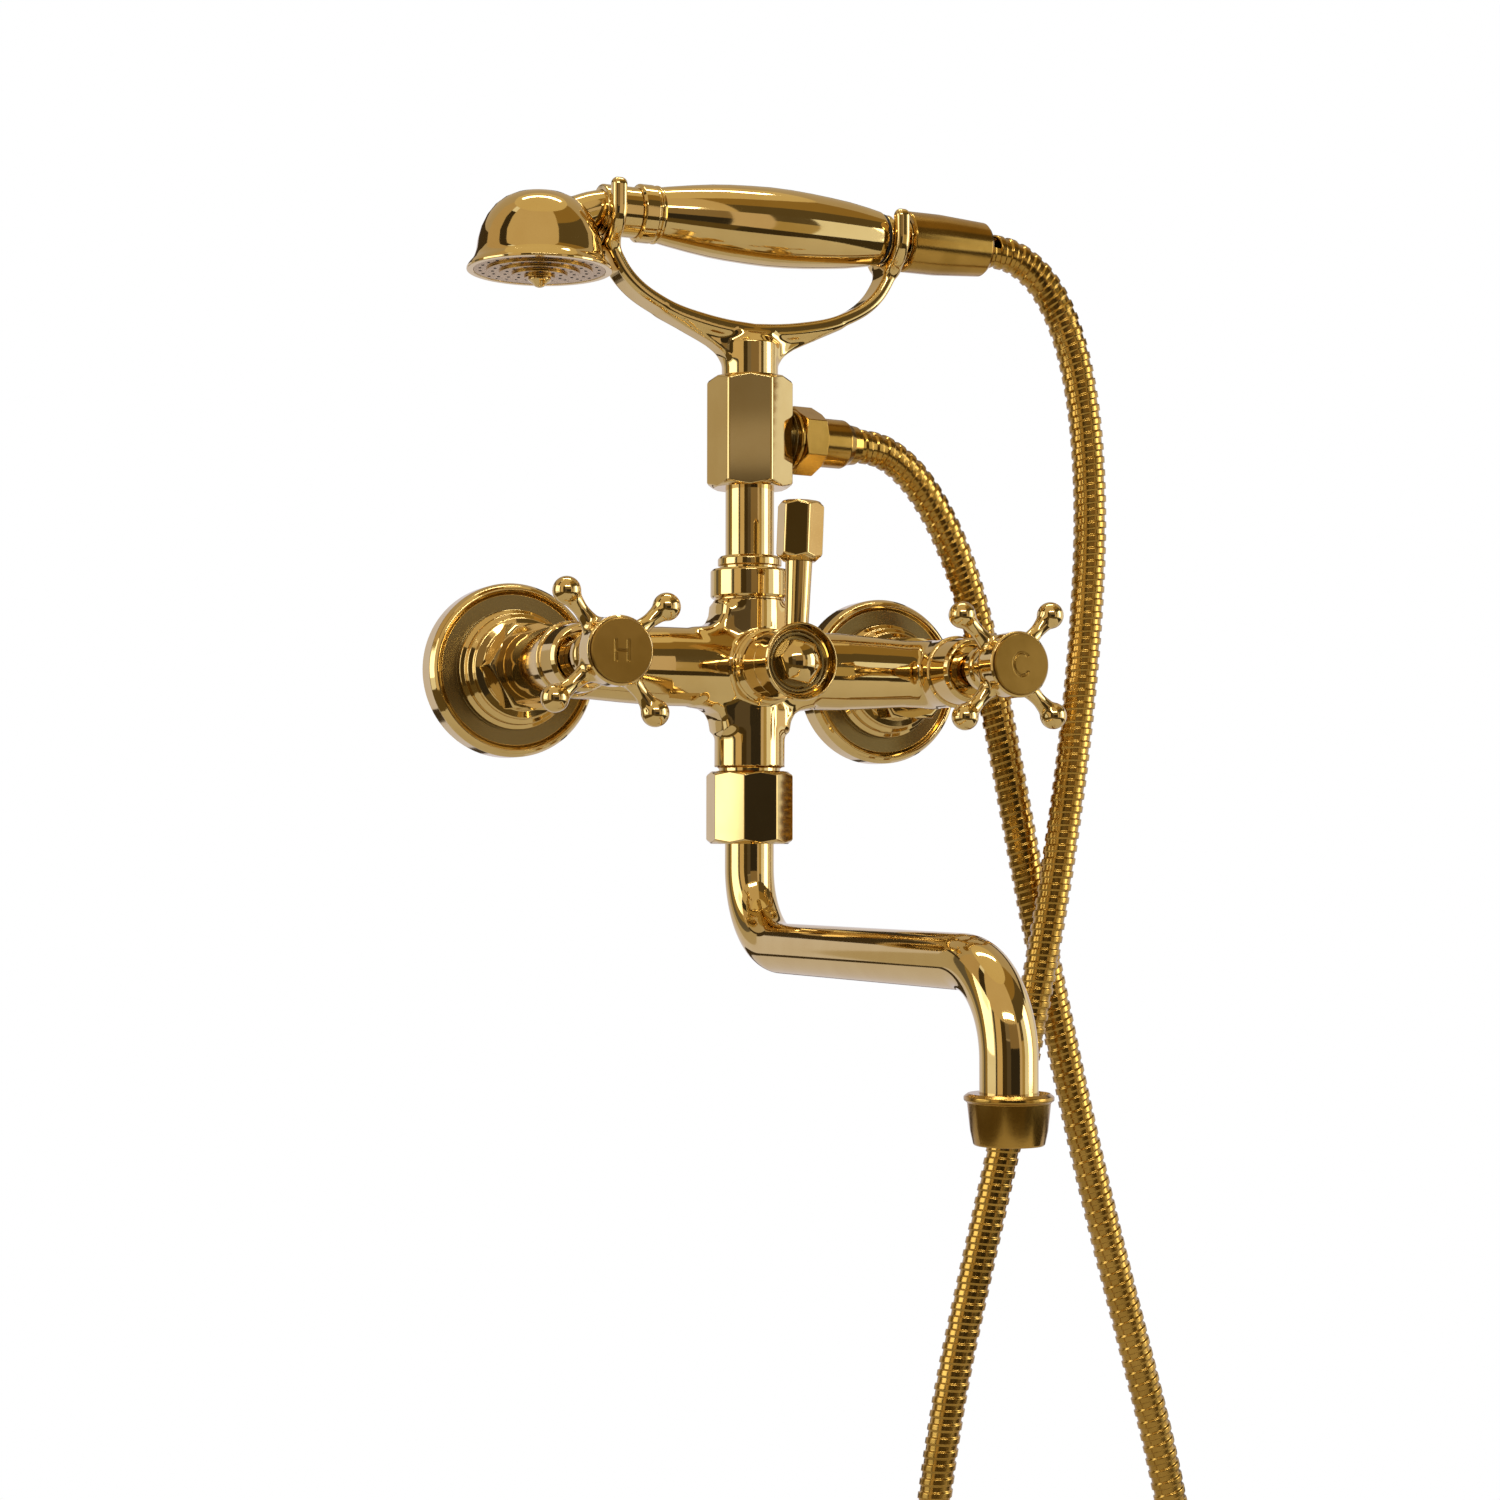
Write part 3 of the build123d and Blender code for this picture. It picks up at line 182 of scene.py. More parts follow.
# a nut or block: chamfers is ((end radius, length) at the start, the same at the end)
def nutShell(place, sides, flats, turn, start, end, chamfers, bore, corner=0.6, edge=0.18):
    ring = polygonRing(sides, flats, math.radians(turn), corner)
    widest = flats / 2 / math.cos(math.pi / sides)

    def level(radius, t, direction):
        def row(spot, normal):
            scale = min(radius, spot.length) / spot.length
            return place.point(spot.x * scale, spot.y * scale, t), place.direction(0, 0, direction)
        return row

    def crease(spec, t, direction, onSide):
        endRadius, length = spec
        slope = length / max(widest - endRadius, 0.01)

        def row(spot, normal):
            if onSide:
                depth = max(0.0, (spot.length - endRadius) * slope) + edge
                side = place.direction(normal.x, normal.y, 0)
                return place.point(spot.x, spot.y, t - direction * depth), side
            out = spot.normalized()
            inner = out * (spot.length - max(0.0, min(edge, (spot.length - endRadius) * 0.5)))
            depth = max(0.0, (inner.length - endRadius) * slope)
            tilt = Vector((out.x * slope, out.y * slope, 1.0)).normalized()
            point = place.point(inner.x, inner.y, t - direction * depth)
            return point, place.direction(tilt.x, tilt.y, tilt.z * direction)
        return row

    def wall(t):
        def row(spot, normal):
            scale = bore / spot.length
            out = spot.normalized()
            return place.point(spot.x * scale, spot.y * scale, t), place.direction(-out.x, -out.y, 0)
        return row

    first, last = chamfers
    rows = [
        level(bore, start, -1), level(first[0], start, -1),
        crease(first, start, -1, False), crease(first, start, -1, True),
        crease(last, end, 1, True), crease(last, end, 1, False),
        level(last[0], end, 1), level(bore, end, 1), wall(end), wall(start),
    ]
    spots = [row(spot, normal) for row in rows for spot, normal in ring]
    faces, indices = gridFaces(len(rows), len(ring), False, [0] * len(rows))
    return orient([point for point, _ in spots], [normal for _, normal in spots], faces, indices)


# a round tube along points in space, without twist
def tube(path, radius, steps=48):
    points = [Vector(p) for p in path]
    count = len(points)
    tangents = [(points[min(i + 1, count - 1)] - points[max(i - 1, 0)]).normalized() for i in range(count)]
    across = tangents[0].orthogonal().normalized()
    vertices, normals = [], []
    for point, tangent in zip(points, tangents):
        across = (across - tangent * across.dot(tangent)).normalized()
        other = tangent.cross(across)
        for j in range(steps):
            angle = 2 * math.pi * j / steps
            out = across * math.cos(angle) + other * math.sin(angle)
            vertices.append(point + out * radius)
            normals.append(out)
    faces, indices = gridFaces(count, steps, False, [0] * count)
    return orient(vertices, normals, faces, indices)


# points along straight runs joined by arcs of one radius, with extra points on the arcs
def bentPath(corners, bend, step=5.0):
    corners = [Vector(c) for c in corners]
    points = [corners[0]]
    for before, here, after in zip(corners, corners[1:], corners[2:]):
        inward, outward = (here - before).normalized(), (after - here).normalized()
        turn = inward.angle(outward)
        reach = bend * math.tan(turn / 2)
        start = here - inward * reach
        centre = start + (outward - inward * outward.dot(inward)).normalized() * bend
        steps = max(2, math.ceil(math.degrees(turn) / step))
        axis = inward.cross(outward).normalized()
        for k in range(steps + 1):
            points.append(centre + Matrix.Rotation(turn * k / steps, 3, axis) @ (start - centre))
    points.append(corners[-1])
    return points


def merged(*shells):
    vertices, normals, faces, indices = [], [], [], []
    for shell in shells:
        offset = len(vertices)
        vertices += shell[0]
        normals += shell[1]
        faces += [tuple(k + offset for k in face) for face in shell[2]]
        indices += shell[3]
    return vertices, normals, faces, indices


def newObject(name, data, materials=()):
    for material in materials:
        data.materials.append(material)
    thing = bpy.data.objects.new(name, data)
    bpy.context.collection.objects.link(thing)
    return thing


# the mesh that an object's modifiers make. The object is removed
def bakedMesh(thing):
    mesh = bpy.data.meshes.new_from_object(thing.evaluated_get(bpy.context.evaluated_depsgraph_get()))
    bpy.data.objects.remove(thing)
    return mesh


def smoothMesh(name, shell, materials):
    vertices, normals, faces, indices = shell
    mesh = bpy.data.meshes.new(name)
    mesh.from_pydata([v * mm for v in vertices], [], faces)
    mesh.polygons.foreach_set("use_smooth", [True] * len(faces))
    mesh.polygons.foreach_set("material_index", indices)
    mesh.normals_split_custom_set_from_vertices([n.normalized() for n in normals])
    return newObject(name, mesh, materials)


def joined(first, second):
    with bpy.context.temp_override(active_object=first, selected_editable_objects=[first, second]):
        bpy.ops.object.join()
    return first


# takes the place of the CAD nodes and moves with a body; slot is not used
def settle(piece, body, slot, *nodes):
    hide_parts(*nodes)
    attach(piece, body)
    return piece


# a smooth piece that takes the place of the CAD node of the same name
def dress(name, shell, body, *materials):
    node = "".join("_" + letter.lower() if letter.isupper() else letter for letter in name)
    return settle(smoothMesh(name, shell, materials), body, materials[0].name.replace(" ", "_"), node)


# Cast shapes: fields of distances joined with soft seams, meshed and laid exactly on the field


# cuts the corners of an open line again and again until it runs smooth
def softened(points, rounds=2):
    for _ in range(rounds):
        cut = [points[0]]
        for a, b in zip(points, points[1:]):
            cut += [tuple(u * (1 - share) + v * share for u, v in zip(a, b)) for share in (0.25, 0.75)]
        points = cut + [points[-1]]
    return points


def polygonDistance(points, x, y):
    best = np.full(x.shape, 1e9)
    inside = np.zeros(x.shape, dtype=bool)
    for a, b in zip(points, points[1:] + points[:1]):
        ex, ey = b[0] - a[0], b[1] - a[1]
        wx, wy = x - a[0], y - a[1]
        h = np.clip((wx * ex + wy * ey) / max(ex * ex + ey * ey, 1e-9), 0, 1)
        best = np.minimum(best, (wx - ex * h) ** 2 + (wy - ey * h) ** 2)
        if ey != 0:
            inside ^= ((a[1] > y) != (b[1] > y)) & (x < ex * (y - a[1]) / ey + a[0])
    return np.where(inside, -1, 1) * np.sqrt(best)


# a turned shape. Its outline runs from the axis to the axis
def turnedField(place, outline):
    outline = [tuple(p[:2]) for p in outline]
    mirrored = outline + [(-r, t) for r, t in reversed(outline) if r > 0]
    origin, axis = np.array(place.origin), np.array(place.axis)

    def field(p):
        w = p - origin
        t = w @ axis
        r = np.sqrt(np.maximum((w * w).sum(axis=1) - t * t, 0))
        return polygonDistance(mirrored, r, t)
    return field, lathe(place, outline, 0.05, 48)


# a flat shape of an outline, with rounded rims
def slabField(origin, ex, ey, outline, half, edge):
    origin, ex, ey = Vector(origin), Vector(ex), Vector(ey)
    normal = ex.cross(ey)
    o, a, b, n = (np.array(v) for v in (origin, ex, ey, normal))

    def field(p):
        w = p - o
        flat = polygonDistance(outline, w @ a, w @ b) + edge
        deep = np.abs(w @ n) - half + edge
        outside = np.sqrt(np.maximum(flat, 0) ** 2 + np.maximum(deep, 0) ** 2)
        return outside + np.minimum(np.maximum(flat, deep), 0) - edge
    count = len(outline)
    vertices = [origin + ex * x + ey * y + normal * s for s in (-half, half) for x, y in outline]
    faces = [(j, (j + 1) % count, count + (j + 1) % count, count + j) for j in range(count)]
    faces += [tuple(range(count)), tuple(range(2 * count - 1, count - 1, -1))]
    if signedArea(outline) > 0:
        faces = [tuple(reversed(f)) for f in faces]
    return field, (vertices, [normal] * len(vertices), faces, [0] * len(faces))


# parts are (field, shell); seams[i] is how softly part i + 1 joins those before it; cuts are taken away
def castPiece(name, parts, seams, voxel, cuts=()):
    def field(p):
        value = parts[0][0](p)
        for (part, _), seam in zip(parts[1:], seams):
            other = part(p)
            h = np.maximum(seam - np.abs(value - other), 0) / seam
            value = np.minimum(value, other) - h * h * seam / 4
        for cut in cuts:
            value = np.maximum(value, -cut(p))
        return value

    vertices, _, faces, _ = merged(*(shell for _, shell in parts))
    rough = bpy.data.meshes.new(name + "Rough")
    rough.from_pydata([v * mm for v in vertices], [], faces)
    draft = newObject(name + "Draft", rough)
    remesh = draft.modifiers.new("remesh", "REMESH")
    remesh.mode = "VOXEL"
    remesh.voxel_size = voxel * mm
    baked = bakedMesh(draft)
    points = np.empty(len(baked.vertices) * 3)
    baked.vertices.foreach_get("co", points)
    points = points.reshape(-1, 3) / mm

    def slope(p, step=0.02):
        gradient = np.empty_like(p)
        for k in range(3):
            shift = np.zeros(3)
            shift[k] = step
            gradient[:, k] = (field(p + shift) - field(p - shift)) / (2 * step)
        return gradient / np.maximum(np.linalg.norm(gradient, axis=1, keepdims=True), 1e-6)

    for _ in range(3):
        points = points - slope(points) * np.clip(field(points), -voxel, voxel)[:, None]
    normals = slope(points, 0.35)
    baked.vertices.foreach_set("co", (points * mm).ravel())
    baked.polygons.foreach_set("use_smooth", [True] * len(baked.polygons))
    baked.normals_split_custom_set_from_vertices(normals.tolist())
    baked.update()
    print("cast", name, len(baked.polygons))
    return newObject(name, baked, [polishedBrass])


# Materials
def linear(code):
    values = [int(code[i:i + 2], 16) / 255 for i in (1, 3, 5)]
    return tuple(v / 12.92 if v <= 0.04045 else ((v + 0.055) / 1.055) ** 2.4 for v in values) + (1.0,)


# links a node's output to the socket, or sets its value
def plug(socket, value):
    if isinstance(value, bpy.types.NodeSocket):
        socket.id_data.links.new(value, socket)
    else:
        socket.default_value = value


def addNode(tree, kind, inputs=None, **settings):
    node = tree.nodes.new(kind)
    for key, value in settings.items():
        setattr(node, key, value)
    for key, value in (inputs or {}).items():
        plug(node.inputs[key], value)
    return node


mottleSize = 14


# a finish with a little relief and tone variation; sizes in mm
def finish(name, colour, roughness, metallic=1.0, grain=0.0, grainScale=0.4, mottle=0.0, darker=None):
    material = bpy.data.materials.new(name)
    material.use_nodes = True
    tree = material.node_tree
    shader = tree.nodes["Principled BSDF"].inputs
    shader["Metallic"].default_value = metallic
    shader["Roughness"].default_value = roughness
    shader["Base Color"].default_value = linear(colour)
    spot = addNode(tree, "ShaderNodeTexCoord").outputs["Object"]

    def noise(size, detail):
        inputs = {"Vector": spot, "Scale": 1 / (size * mm), "Detail": detail}
        return addNode(tree, "ShaderNodeTexNoise", inputs).outputs["Fac"]

    if grain:
        relief = {"Height": noise(grainScale, 3), "Strength": 1, "Distance": grain * mm}
        plug(shader["Normal"], addNode(tree, "ShaderNodeBump", relief).outputs["Normal"])
    if mottle:
        spread = addNode(tree, "ShaderNodeMapRange", {
            "Value": noise(mottleSize, 4), "From Min": 0.4, "From Max": 0.65, "To Max": mottle,
        })
        shares = {"Factor": spread.outputs["Result"], "A": linear(colour), "B": linear(darker)}
        mix = addNode(tree, "ShaderNodeMix", shares, data_type="RGBA")
        plug(shader["Base Color"], mix.outputs["Result"])
    return material


polishedBrass = finish("polished brass", "#DCC080", 0.06, mottle=0.3, darker="#CCAA64")
satinBrass = finish("satin brass", "#BA9448", 0.17, grain=0.012, grainScale=0.3, mottle=0.5, darker="#98752F")
agedBrass = finish("aged brass", "#A07F3E", 0.3, grain=0.01, grainScale=0.3, mottle=0.5, darker="#846628")
dullBrass = finish("dull brass", "#8F7E54", 0.26, grain=0.01, grainScale=0.3)
blackRubber = finish("black rubber", "#141312", 0.6, metallic=0.0)
greyPlastic = finish("grey plastic", "#8C8A84", 0.5, metallic=0.0)
plainSteel = finish("plain steel", "#B8B6B0", 0.35)
# near-black that paints the shade inside spray holes that are not cut
holeShadeBlack = finish("painted hole shade", "#0C0A08", 0.7, metallic=0.0)
print("materials ready")

# Sizes shared with the construction, in mm
axisY = -50.0
inletX = 75.0
handsetZ = 160.6
outletZ = 84.0
blockTurn = 6.0
headX = -80.6


def front(x, z=0.0):
    return Place((x, 0, z), (0, -1, 0))


def upright(y=axisY, x=0.0):
    return Place((x, y, 0), (0, 0, 1))


handsetAxis = Place((0, axisY, handsetZ), (1, 0, 0))
outletDirection = (math.cos(math.radians(blockTurn)), math.sin(math.radians(blockTurn)), 0)
outletAxis = Place((0, axisY, outletZ), outletDirection)

# Hose: the same route as the construction, as one smooth line with a ribbed skin
hose = {"radius": 6.25, "pitch": 4.9, "groove": 0.6, "length": 1497.4}
hoseRoute = [
    (96.0, 0, 160.6), (105.0, 0, 160.6), (113.8, -0.6, 156.9), (121.9, -1.6, 149.6), (129.3, -2.8, 136.5),
    (135.0, -4.0, 117.5), (138.4, -5.2, 92.0), (138.9, -6.6, 58.0), (135.8, -7.8, 18.0),
    (130.0, -8.8, -26.0), (122.3, -9.2, -72.0), (112.8, -8.8, -119.0), (101.8, -7.6, -167.5),
    (89.8, -5.8, -216.0), (78.6, -4.0, -264.0), (71.4, -2.6, -311.6), (68.2, -1.4, -360.7),
    (67.6, -0.6, -408.7), (69.6, -0.2, -455.1), (75.0, 0, -497.3), (85.6, 0, -531.6), (105.0, 0, -556.9),
    (131.5, 0, -566.9), (158.5, 0, -559.5), (179.0, 0, -536.3), (189.5, 0.4, -499.4), (193.6, 1.2, -454.0),
    (193.2, 2.4, -405.5), (188.2, 3.8, -355.9), (178.4, 5.2, -303.7), (165.4, 6.4, -255.5),
    (152.0, 7.4, -208.0), (139.9, 8.2, -161.0), (128.8, 8.6, -114.5), (118.8, 8.8, -69.5),
    (109.8, 8.8, -26.5), (101.2, 8.6, 11.0), (91.9, 8.2, 39.5), (82.2, 7.6, 59.0), (71.6, 6.9, 73.0),
    (62.0, 6.2, 80.4),
]
hosePoints = [Vector((x, axisY + y, z)) for x, y, z in hoseRoute]
hosePoints += [outletAxis.point(0, 0, 44.5 + 8.8), outletAxis.point(0, 0, 44.5)]
hoseLine = bpy.data.curves.new("hoseLine", "CURVE")
hoseLine.dimensions = "3D"
hoseSpline = hoseLine.splines.new("NURBS")
hoseSpline.points.add(len(hosePoints) - 1)
for knot, point in zip(hoseSpline.points, hosePoints):
    knot.co = (*(point * mm), 1)
hoseSpline.order_u = 3
hoseSpline.use_endpoint_u = True
hoseSpline.resolution_u = 24
hoseMesh = bakedMesh(newObject("hoseLine", hoseLine))
hosePath = [tuple(v.co) for v in hoseMesh.vertices]


# a geometry group with one number input for each label
def nodeGroup(name, *labels):
    tree = bpy.data.node_groups.new(name, "GeometryNodeTree")
    for side in ("INPUT", "OUTPUT"):
        tree.interface.new_socket("Geometry", in_out=side, socket_type="NodeSocketGeometry")
    sockets = [tree.interface.new_socket(label, in_out="INPUT", socket_type="NodeSocketFloat").identifier
               for label in labels]
    return tree, sockets, addNode(tree, "NodeGroupInput").outputs


# paints what the group makes and bakes it on a host into an object of this name; sizes in mm
def bakedGroup(name, host, tree, sizes, geometry, material):
    realize = addNode(tree, "GeometryNodeRealizeInstances", {"Geometry": geometry})
    inputs = {"Geometry": realize.outputs["Geometry"], "Material": material}
    paint = addNode(tree, "GeometryNodeSetMaterial", inputs)
    addNode(tree, "NodeGroupOutput", {"Geometry": paint.outputs["Geometry"]})
    modifier = host.modifiers.new("group", "NODES")
    modifier.node_group = tree
    for identifier, size in sizes.items():
        modifier[identifier] = size * mm
    return newObject(name, bakedMesh(host))


# a grid of rows and columns wound around a line of edges, with a one-start band standing out of it
def ribbedSkin(name, lineMesh, settings, material):
    tree, sockets, start = nodeGroup(name, "Radius", "Pitch", "Groove Depth")

    def calculate(operation, *values):
        return addNode(tree, "ShaderNodeMath", dict(enumerate(values)), operation=operation).outputs[0]

    def vector(operation, inputs):
        return addNode(tree, "ShaderNodeVectorMath", inputs, operation=operation).outputs[0]

    rowsPerTurn = 10
    columns = 26
    curve = addNode(tree, "GeometryNodeMeshToCurve", {"Mesh": start["Geometry"]}).outputs["Curve"]
    length = addNode(tree, "GeometryNodeCurveLength", {"Curve": curve}).outputs["Length"]
    turns = calculate("ROUND", calculate("DIVIDE", length, start["Pitch"]))
    rows = calculate("MULTIPLY", turns, rowsPerTurn)
    pitch = calculate("DIVIDE", length, turns)
    grid = addNode(tree, "GeometryNodeMeshGrid", {
        "Size X": rows, "Size Y": 1, "Vertices X": calculate("ADD", rows, 1), "Vertices Y": columns + 1,
    })
    where = addNode(tree, "GeometryNodeInputPosition").outputs[0]
    apart = addNode(tree, "ShaderNodeSeparateXYZ", {0: where}).outputs
    around = calculate("ADD", apart["Y"], 0.5)
    turn = calculate("DIVIDE", calculate("ADD", apart["X"], calculate("MULTIPLY", rows, 0.5)), rowsPerTurn)
    # rows are drawn together at the two edges of the band
    phase = calculate("ADD", calculate("MULTIPLY", turn, 4 * math.pi), 2.513)
    wave = calculate("MULTIPLY", calculate("SINE", phase), 0.05)
    distance = calculate("MULTIPLY", calculate("ADD", calculate("ADD", turn, wave), around), pitch)
    reached = {"Curves": curve, "Length": calculate("MINIMUM", distance, length)}
    sample = addNode(tree, "GeometryNodeSampleCurve", reached, mode="LENGTH").outputs
    share = calculate("FRACT", calculate("SUBTRACT", calculate("ADD", turn, 1), 0.05))
    band = calculate("LESS_THAN", share, 0.5)
    sunk = calculate("MULTIPLY", calculate("SUBTRACT", 1, band), start["Groove Depth"])
    radius = calculate("SUBTRACT", start["Radius"], sunk)
    angle = calculate("MULTIPLY", around, 2 * math.pi)
    side = vector("CROSS_PRODUCT", {0: sample["Tangent"], 1: sample["Normal"]})
    outward = vector("ADD", {
        0: vector("SCALE", {0: sample["Normal"], "Scale": calculate("COSINE", angle)}),
        1: vector("SCALE", {0: side, "Scale": calculate("SINE", angle)}),
    })
    skin = vector("ADD", {0: sample["Position"], 1: vector("SCALE", {0: outward, "Scale": radius})})
    move = addNode(tree, "GeometryNodeSetPosition", {"Geometry": grid.outputs["Mesh"], "Position": skin})
    flip = addNode(tree, "GeometryNodeFlipFaces", {"Mesh": move.outputs["Geometry"]})
    seam = {"Geometry": flip.outputs["Mesh"], "Distance": 0.01 * mm}
    merge = addNode(tree, "GeometryNodeMergeByDistance", seam)
    sizes = dict(zip(sockets, (settings["radius"], settings["pitch"], settings["groove"])))
    line = newObject(name + "Line", lineMesh)
    piece = bakedGroup(name, line, tree, sizes, merge.outputs["Geometry"], material)
    piece.data.polygons.foreach_set("use_smooth", [True] * len(piece.data.polygons))
    return piece


hoseSkin = ribbedSkin("flexibleHose", hoseMesh, hose, satinBrass)
print("hose", len(hoseSkin.data.polygons))
settle(hoseSkin, "faucet", "satin_brass", "flexible_hose")
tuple(hosePath[0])

# Wall flanges, union nuts
flangeShape = {"radius": 0.4, "steps": 120, "outline": [
    (31.5, 0), (31.5, 8.2, 1.2), (30.5, 10.5, 1.5), (29.2, 11.5, 1.0), (28.2, 10.9, 0.4), (27.3, 9.5, 0.3, 1),
    (21.7, 9.5, 0.3, 0), (21.7, 12.6, 0.6), (20.0, 13.6, 0.6), (20.0, 16.4, 0.6), (18.2, 17.4, 0.6),
    (18.2, 19.2, 0.7), (15.2, 20.0, 0.5), (15.2, 21.8, 0.3), (12.1, 21.8), (12.1, 7.5), (29.5, 7.5),
    (29.5, 0),
]}
unionNut = {"sides": 6, "flats": 30, "turn": 0, "start": 22, "end": 34,
            "chamfers": ((15.0, 1.2), (15.0, 1.2)), "bore": 10.46, "corner": 0.7}
for sideName, x in (("left", -inletX), ("right", inletX)):
    flange = lathe(front(x), **flangeShape)
    dress(f"wallFlange_{sideName}", flange, "faucet", polishedBrass, dullBrass)
    dress(f"unionNut_{sideName}", nutShell(front(x), **unionNut), "faucet", polishedBrass)

# Body casting
body = {"flareHalf": 8.5, "flareEdge": 3.0, "seams": [2.5, 3.5, 1.2], "legSeam": 1.6, "tailSeam": 0.2,
        "voxel": 0.6}
bar = turnedField(Place((0, axisY, 0), (1, 0, 0)), [
    (0, -inletX), (12.4, -inletX), (12.4, -61), (13.2, -50), (14, -35), (14, 35), (13.2, 50), (12.4, 61),
    (12.4, inletX), (0, inletX),
])
legOutline = [(0, 34.15), (12.0, 34.15), (12.5, 34.7), (12.5, 66.95), (0, 66.95)]
tailOutline = [(0, 31.6), (10.4, 31.6), (10.4, 35), (0, 35)]
column = turnedField(upright(), [(0, -48), (11, -48), (11, -35.2), (12.6, -35.2), (12.6, -20), (12.8, 20),
                                 (12.8, 24.45), (0, 24.45)])
flare = [(-12.8, 22.5), (-13.4, 19), (-15.0, 16.2), (-17.6, 14.4), (-22, 13.0), (-22, -13.0), (-17.6, -14.4),
         (-15.0, -16.2), (-13.4, -19), (-12.6, -22.5), (12.6, -22.5), (13.4, -19), (15.0, -16.2),
         (17.6, -14.4), (22, -13.0), (22, 13.0), (17.6, 14.4), (15.0, 16.2), (13.4, 19), (12.8, 22.5)]
flareSlab = slabField((0, axisY, 0), (1, 0, 0), (0, 0, 1), flare, body["flareHalf"], body["flareEdge"])
diverterBoss = turnedField(front(0), [(0, 50), (13.2, 50), (13.2, 63.9), (0, 63.9)])
bodyParts = [bar, column, flareSlab, diverterBoss]
bodySeams = list(body["seams"])
for x in (-inletX, inletX):
    bodyParts.append(turnedField(front(x), legOutline))
    bodySeams.append(body["legSeam"])
    bodyParts.append(turnedField(front(x), tailOutline))
    bodySeams.append(body["tailSeam"])
settle(castPiece("mixerBody", bodyParts, bodySeams, body["voxel"]), "faucet", "polished_brass", "mixer_body")
print("body ready")

# Valves
handle = {"turn": {"hot": -6.5, "cold": 1.8}, "spokeY": -104.8, "ballRadius": 4.75, "ballMiddle": 25.2,
          "seam": 1.8, "voxel": 0.32}
bonnetShape = {"radius": 0.25, "outline": [
    (9.05, 67), (12.9, 67), (13.2, 67.4, 0.5), (13.2, 68.8, 0.7), (12.6, 69.4, 0.3), (12.3, 69.5, 0.2),
    (11.7, 78.6, 1.0), (10.8, 80.5, 1.0), (9.05, 80.5),
]}
glandShape = {"radius": 0.25, "outline": [
    (4.05, 45), (8.9, 45), (8.9, 77), (6.3, 77), (6.3, 87.5), (4.05, 87.5),
]}
hubProfile = [(0, 88.0), (8.3, 88.0)] + softened([
    (8.3, 89.6), (8.3, 91.2), (7.6, 92.8), (7.4, 94.6), (7.8, 97.0), (9.0, 99.4), (10.3, 101.4),
    (11.2, 103.4), (11.6, 105.4), (11.6, 109.0),
]) + [(11.6, 112.6), (11.3, 112.9), (0, 112.9)]
hubRing = [(10.72, 110.6), (11.62, 110.6), (11.66, 112.9, 0.5), (11.1, 113.5, 0.3), (10.72, 113.5)]
ballRadius, ballMiddle = handle["ballRadius"], handle["ballMiddle"]
spokeProfile = [(0, 7.0)] + softened([
    (4.4, 7.0), (4.1, 10.2), (3.3, 12.2), (2.75, 14.4), (2.45, 17.2), (2.75, 19.4), (3.1, 21.2), (3.7, 22.2),
    (3.93, 22.54),
]) + [(ballRadius * math.sin(math.radians(a)), ballMiddle - ballRadius * math.cos(math.radians(a)))
      for a in range(58, 180, 4)] + [(0, 29.95)]
letterH = [[(-2.2, -3.3), (-2.2, 3.3)], [(2.2, -3.3), (2.2, 3.3)], [(-2.2, 0), (2.2, 0)]]
letterC = [[(3.3 * math.cos(math.radians(a)), 4.0 * math.sin(math.radians(a))) for a in range(46, 317, 15)]]


def strokeDistance(strokes, x, y):
    nearest = np.full_like(x, 99.0)
    for stroke in strokes:
        for (ax, ay), (bx, by) in zip(stroke, stroke[1:]):
            ex, ey = bx - ax, by - ay
            share = np.clip(((x - ax) * ex + (y - ay) * ey) / (ex ** 2 + ey ** 2), 0, 1)
            nearest = np.minimum(nearest, np.hypot(x - ax - share * ex, y - ay - share * ey))
    return nearest


cap = {"face": 114.65, "halfWidth": 0.62, "flankWidth": 0.56, "depth": 0.42}


# a turned disc with rounded grooves pressed into its face
def indexCap(name, x, strokes):
    rings = [(10.3 * k / 80, cap["face"]) for k in range(80, -1, -1)]
    vertices, _, faces, _ = lathe(front(x), [(0, 109.5), (10.7, 109.5), (10.7, 114.25)] + rings, 0.0, 144)
    points = np.array([v[:] for v in vertices])
    face = points[:, 1] < 0.05 - cap["face"]
    away = strokeDistance(strokes, points[:, 0] - x, points[:, 2])
    step = np.clip((cap["halfWidth"] - away) / cap["flankWidth"], 0, 1)
    points[:, 1] += np.where(face, cap["depth"] * step * step * (3 - 2 * step), 0)
    mesh = bpy.data.meshes.new(name)
    mesh.from_pydata(points * mm, [], faces)
    mesh.polygons.foreach_set("use_smooth", [True] * len(mesh.polygons))
    mesh.set_sharp_from_angle(angle=math.radians(38))
    return newObject(name, mesh, [agedBrass])


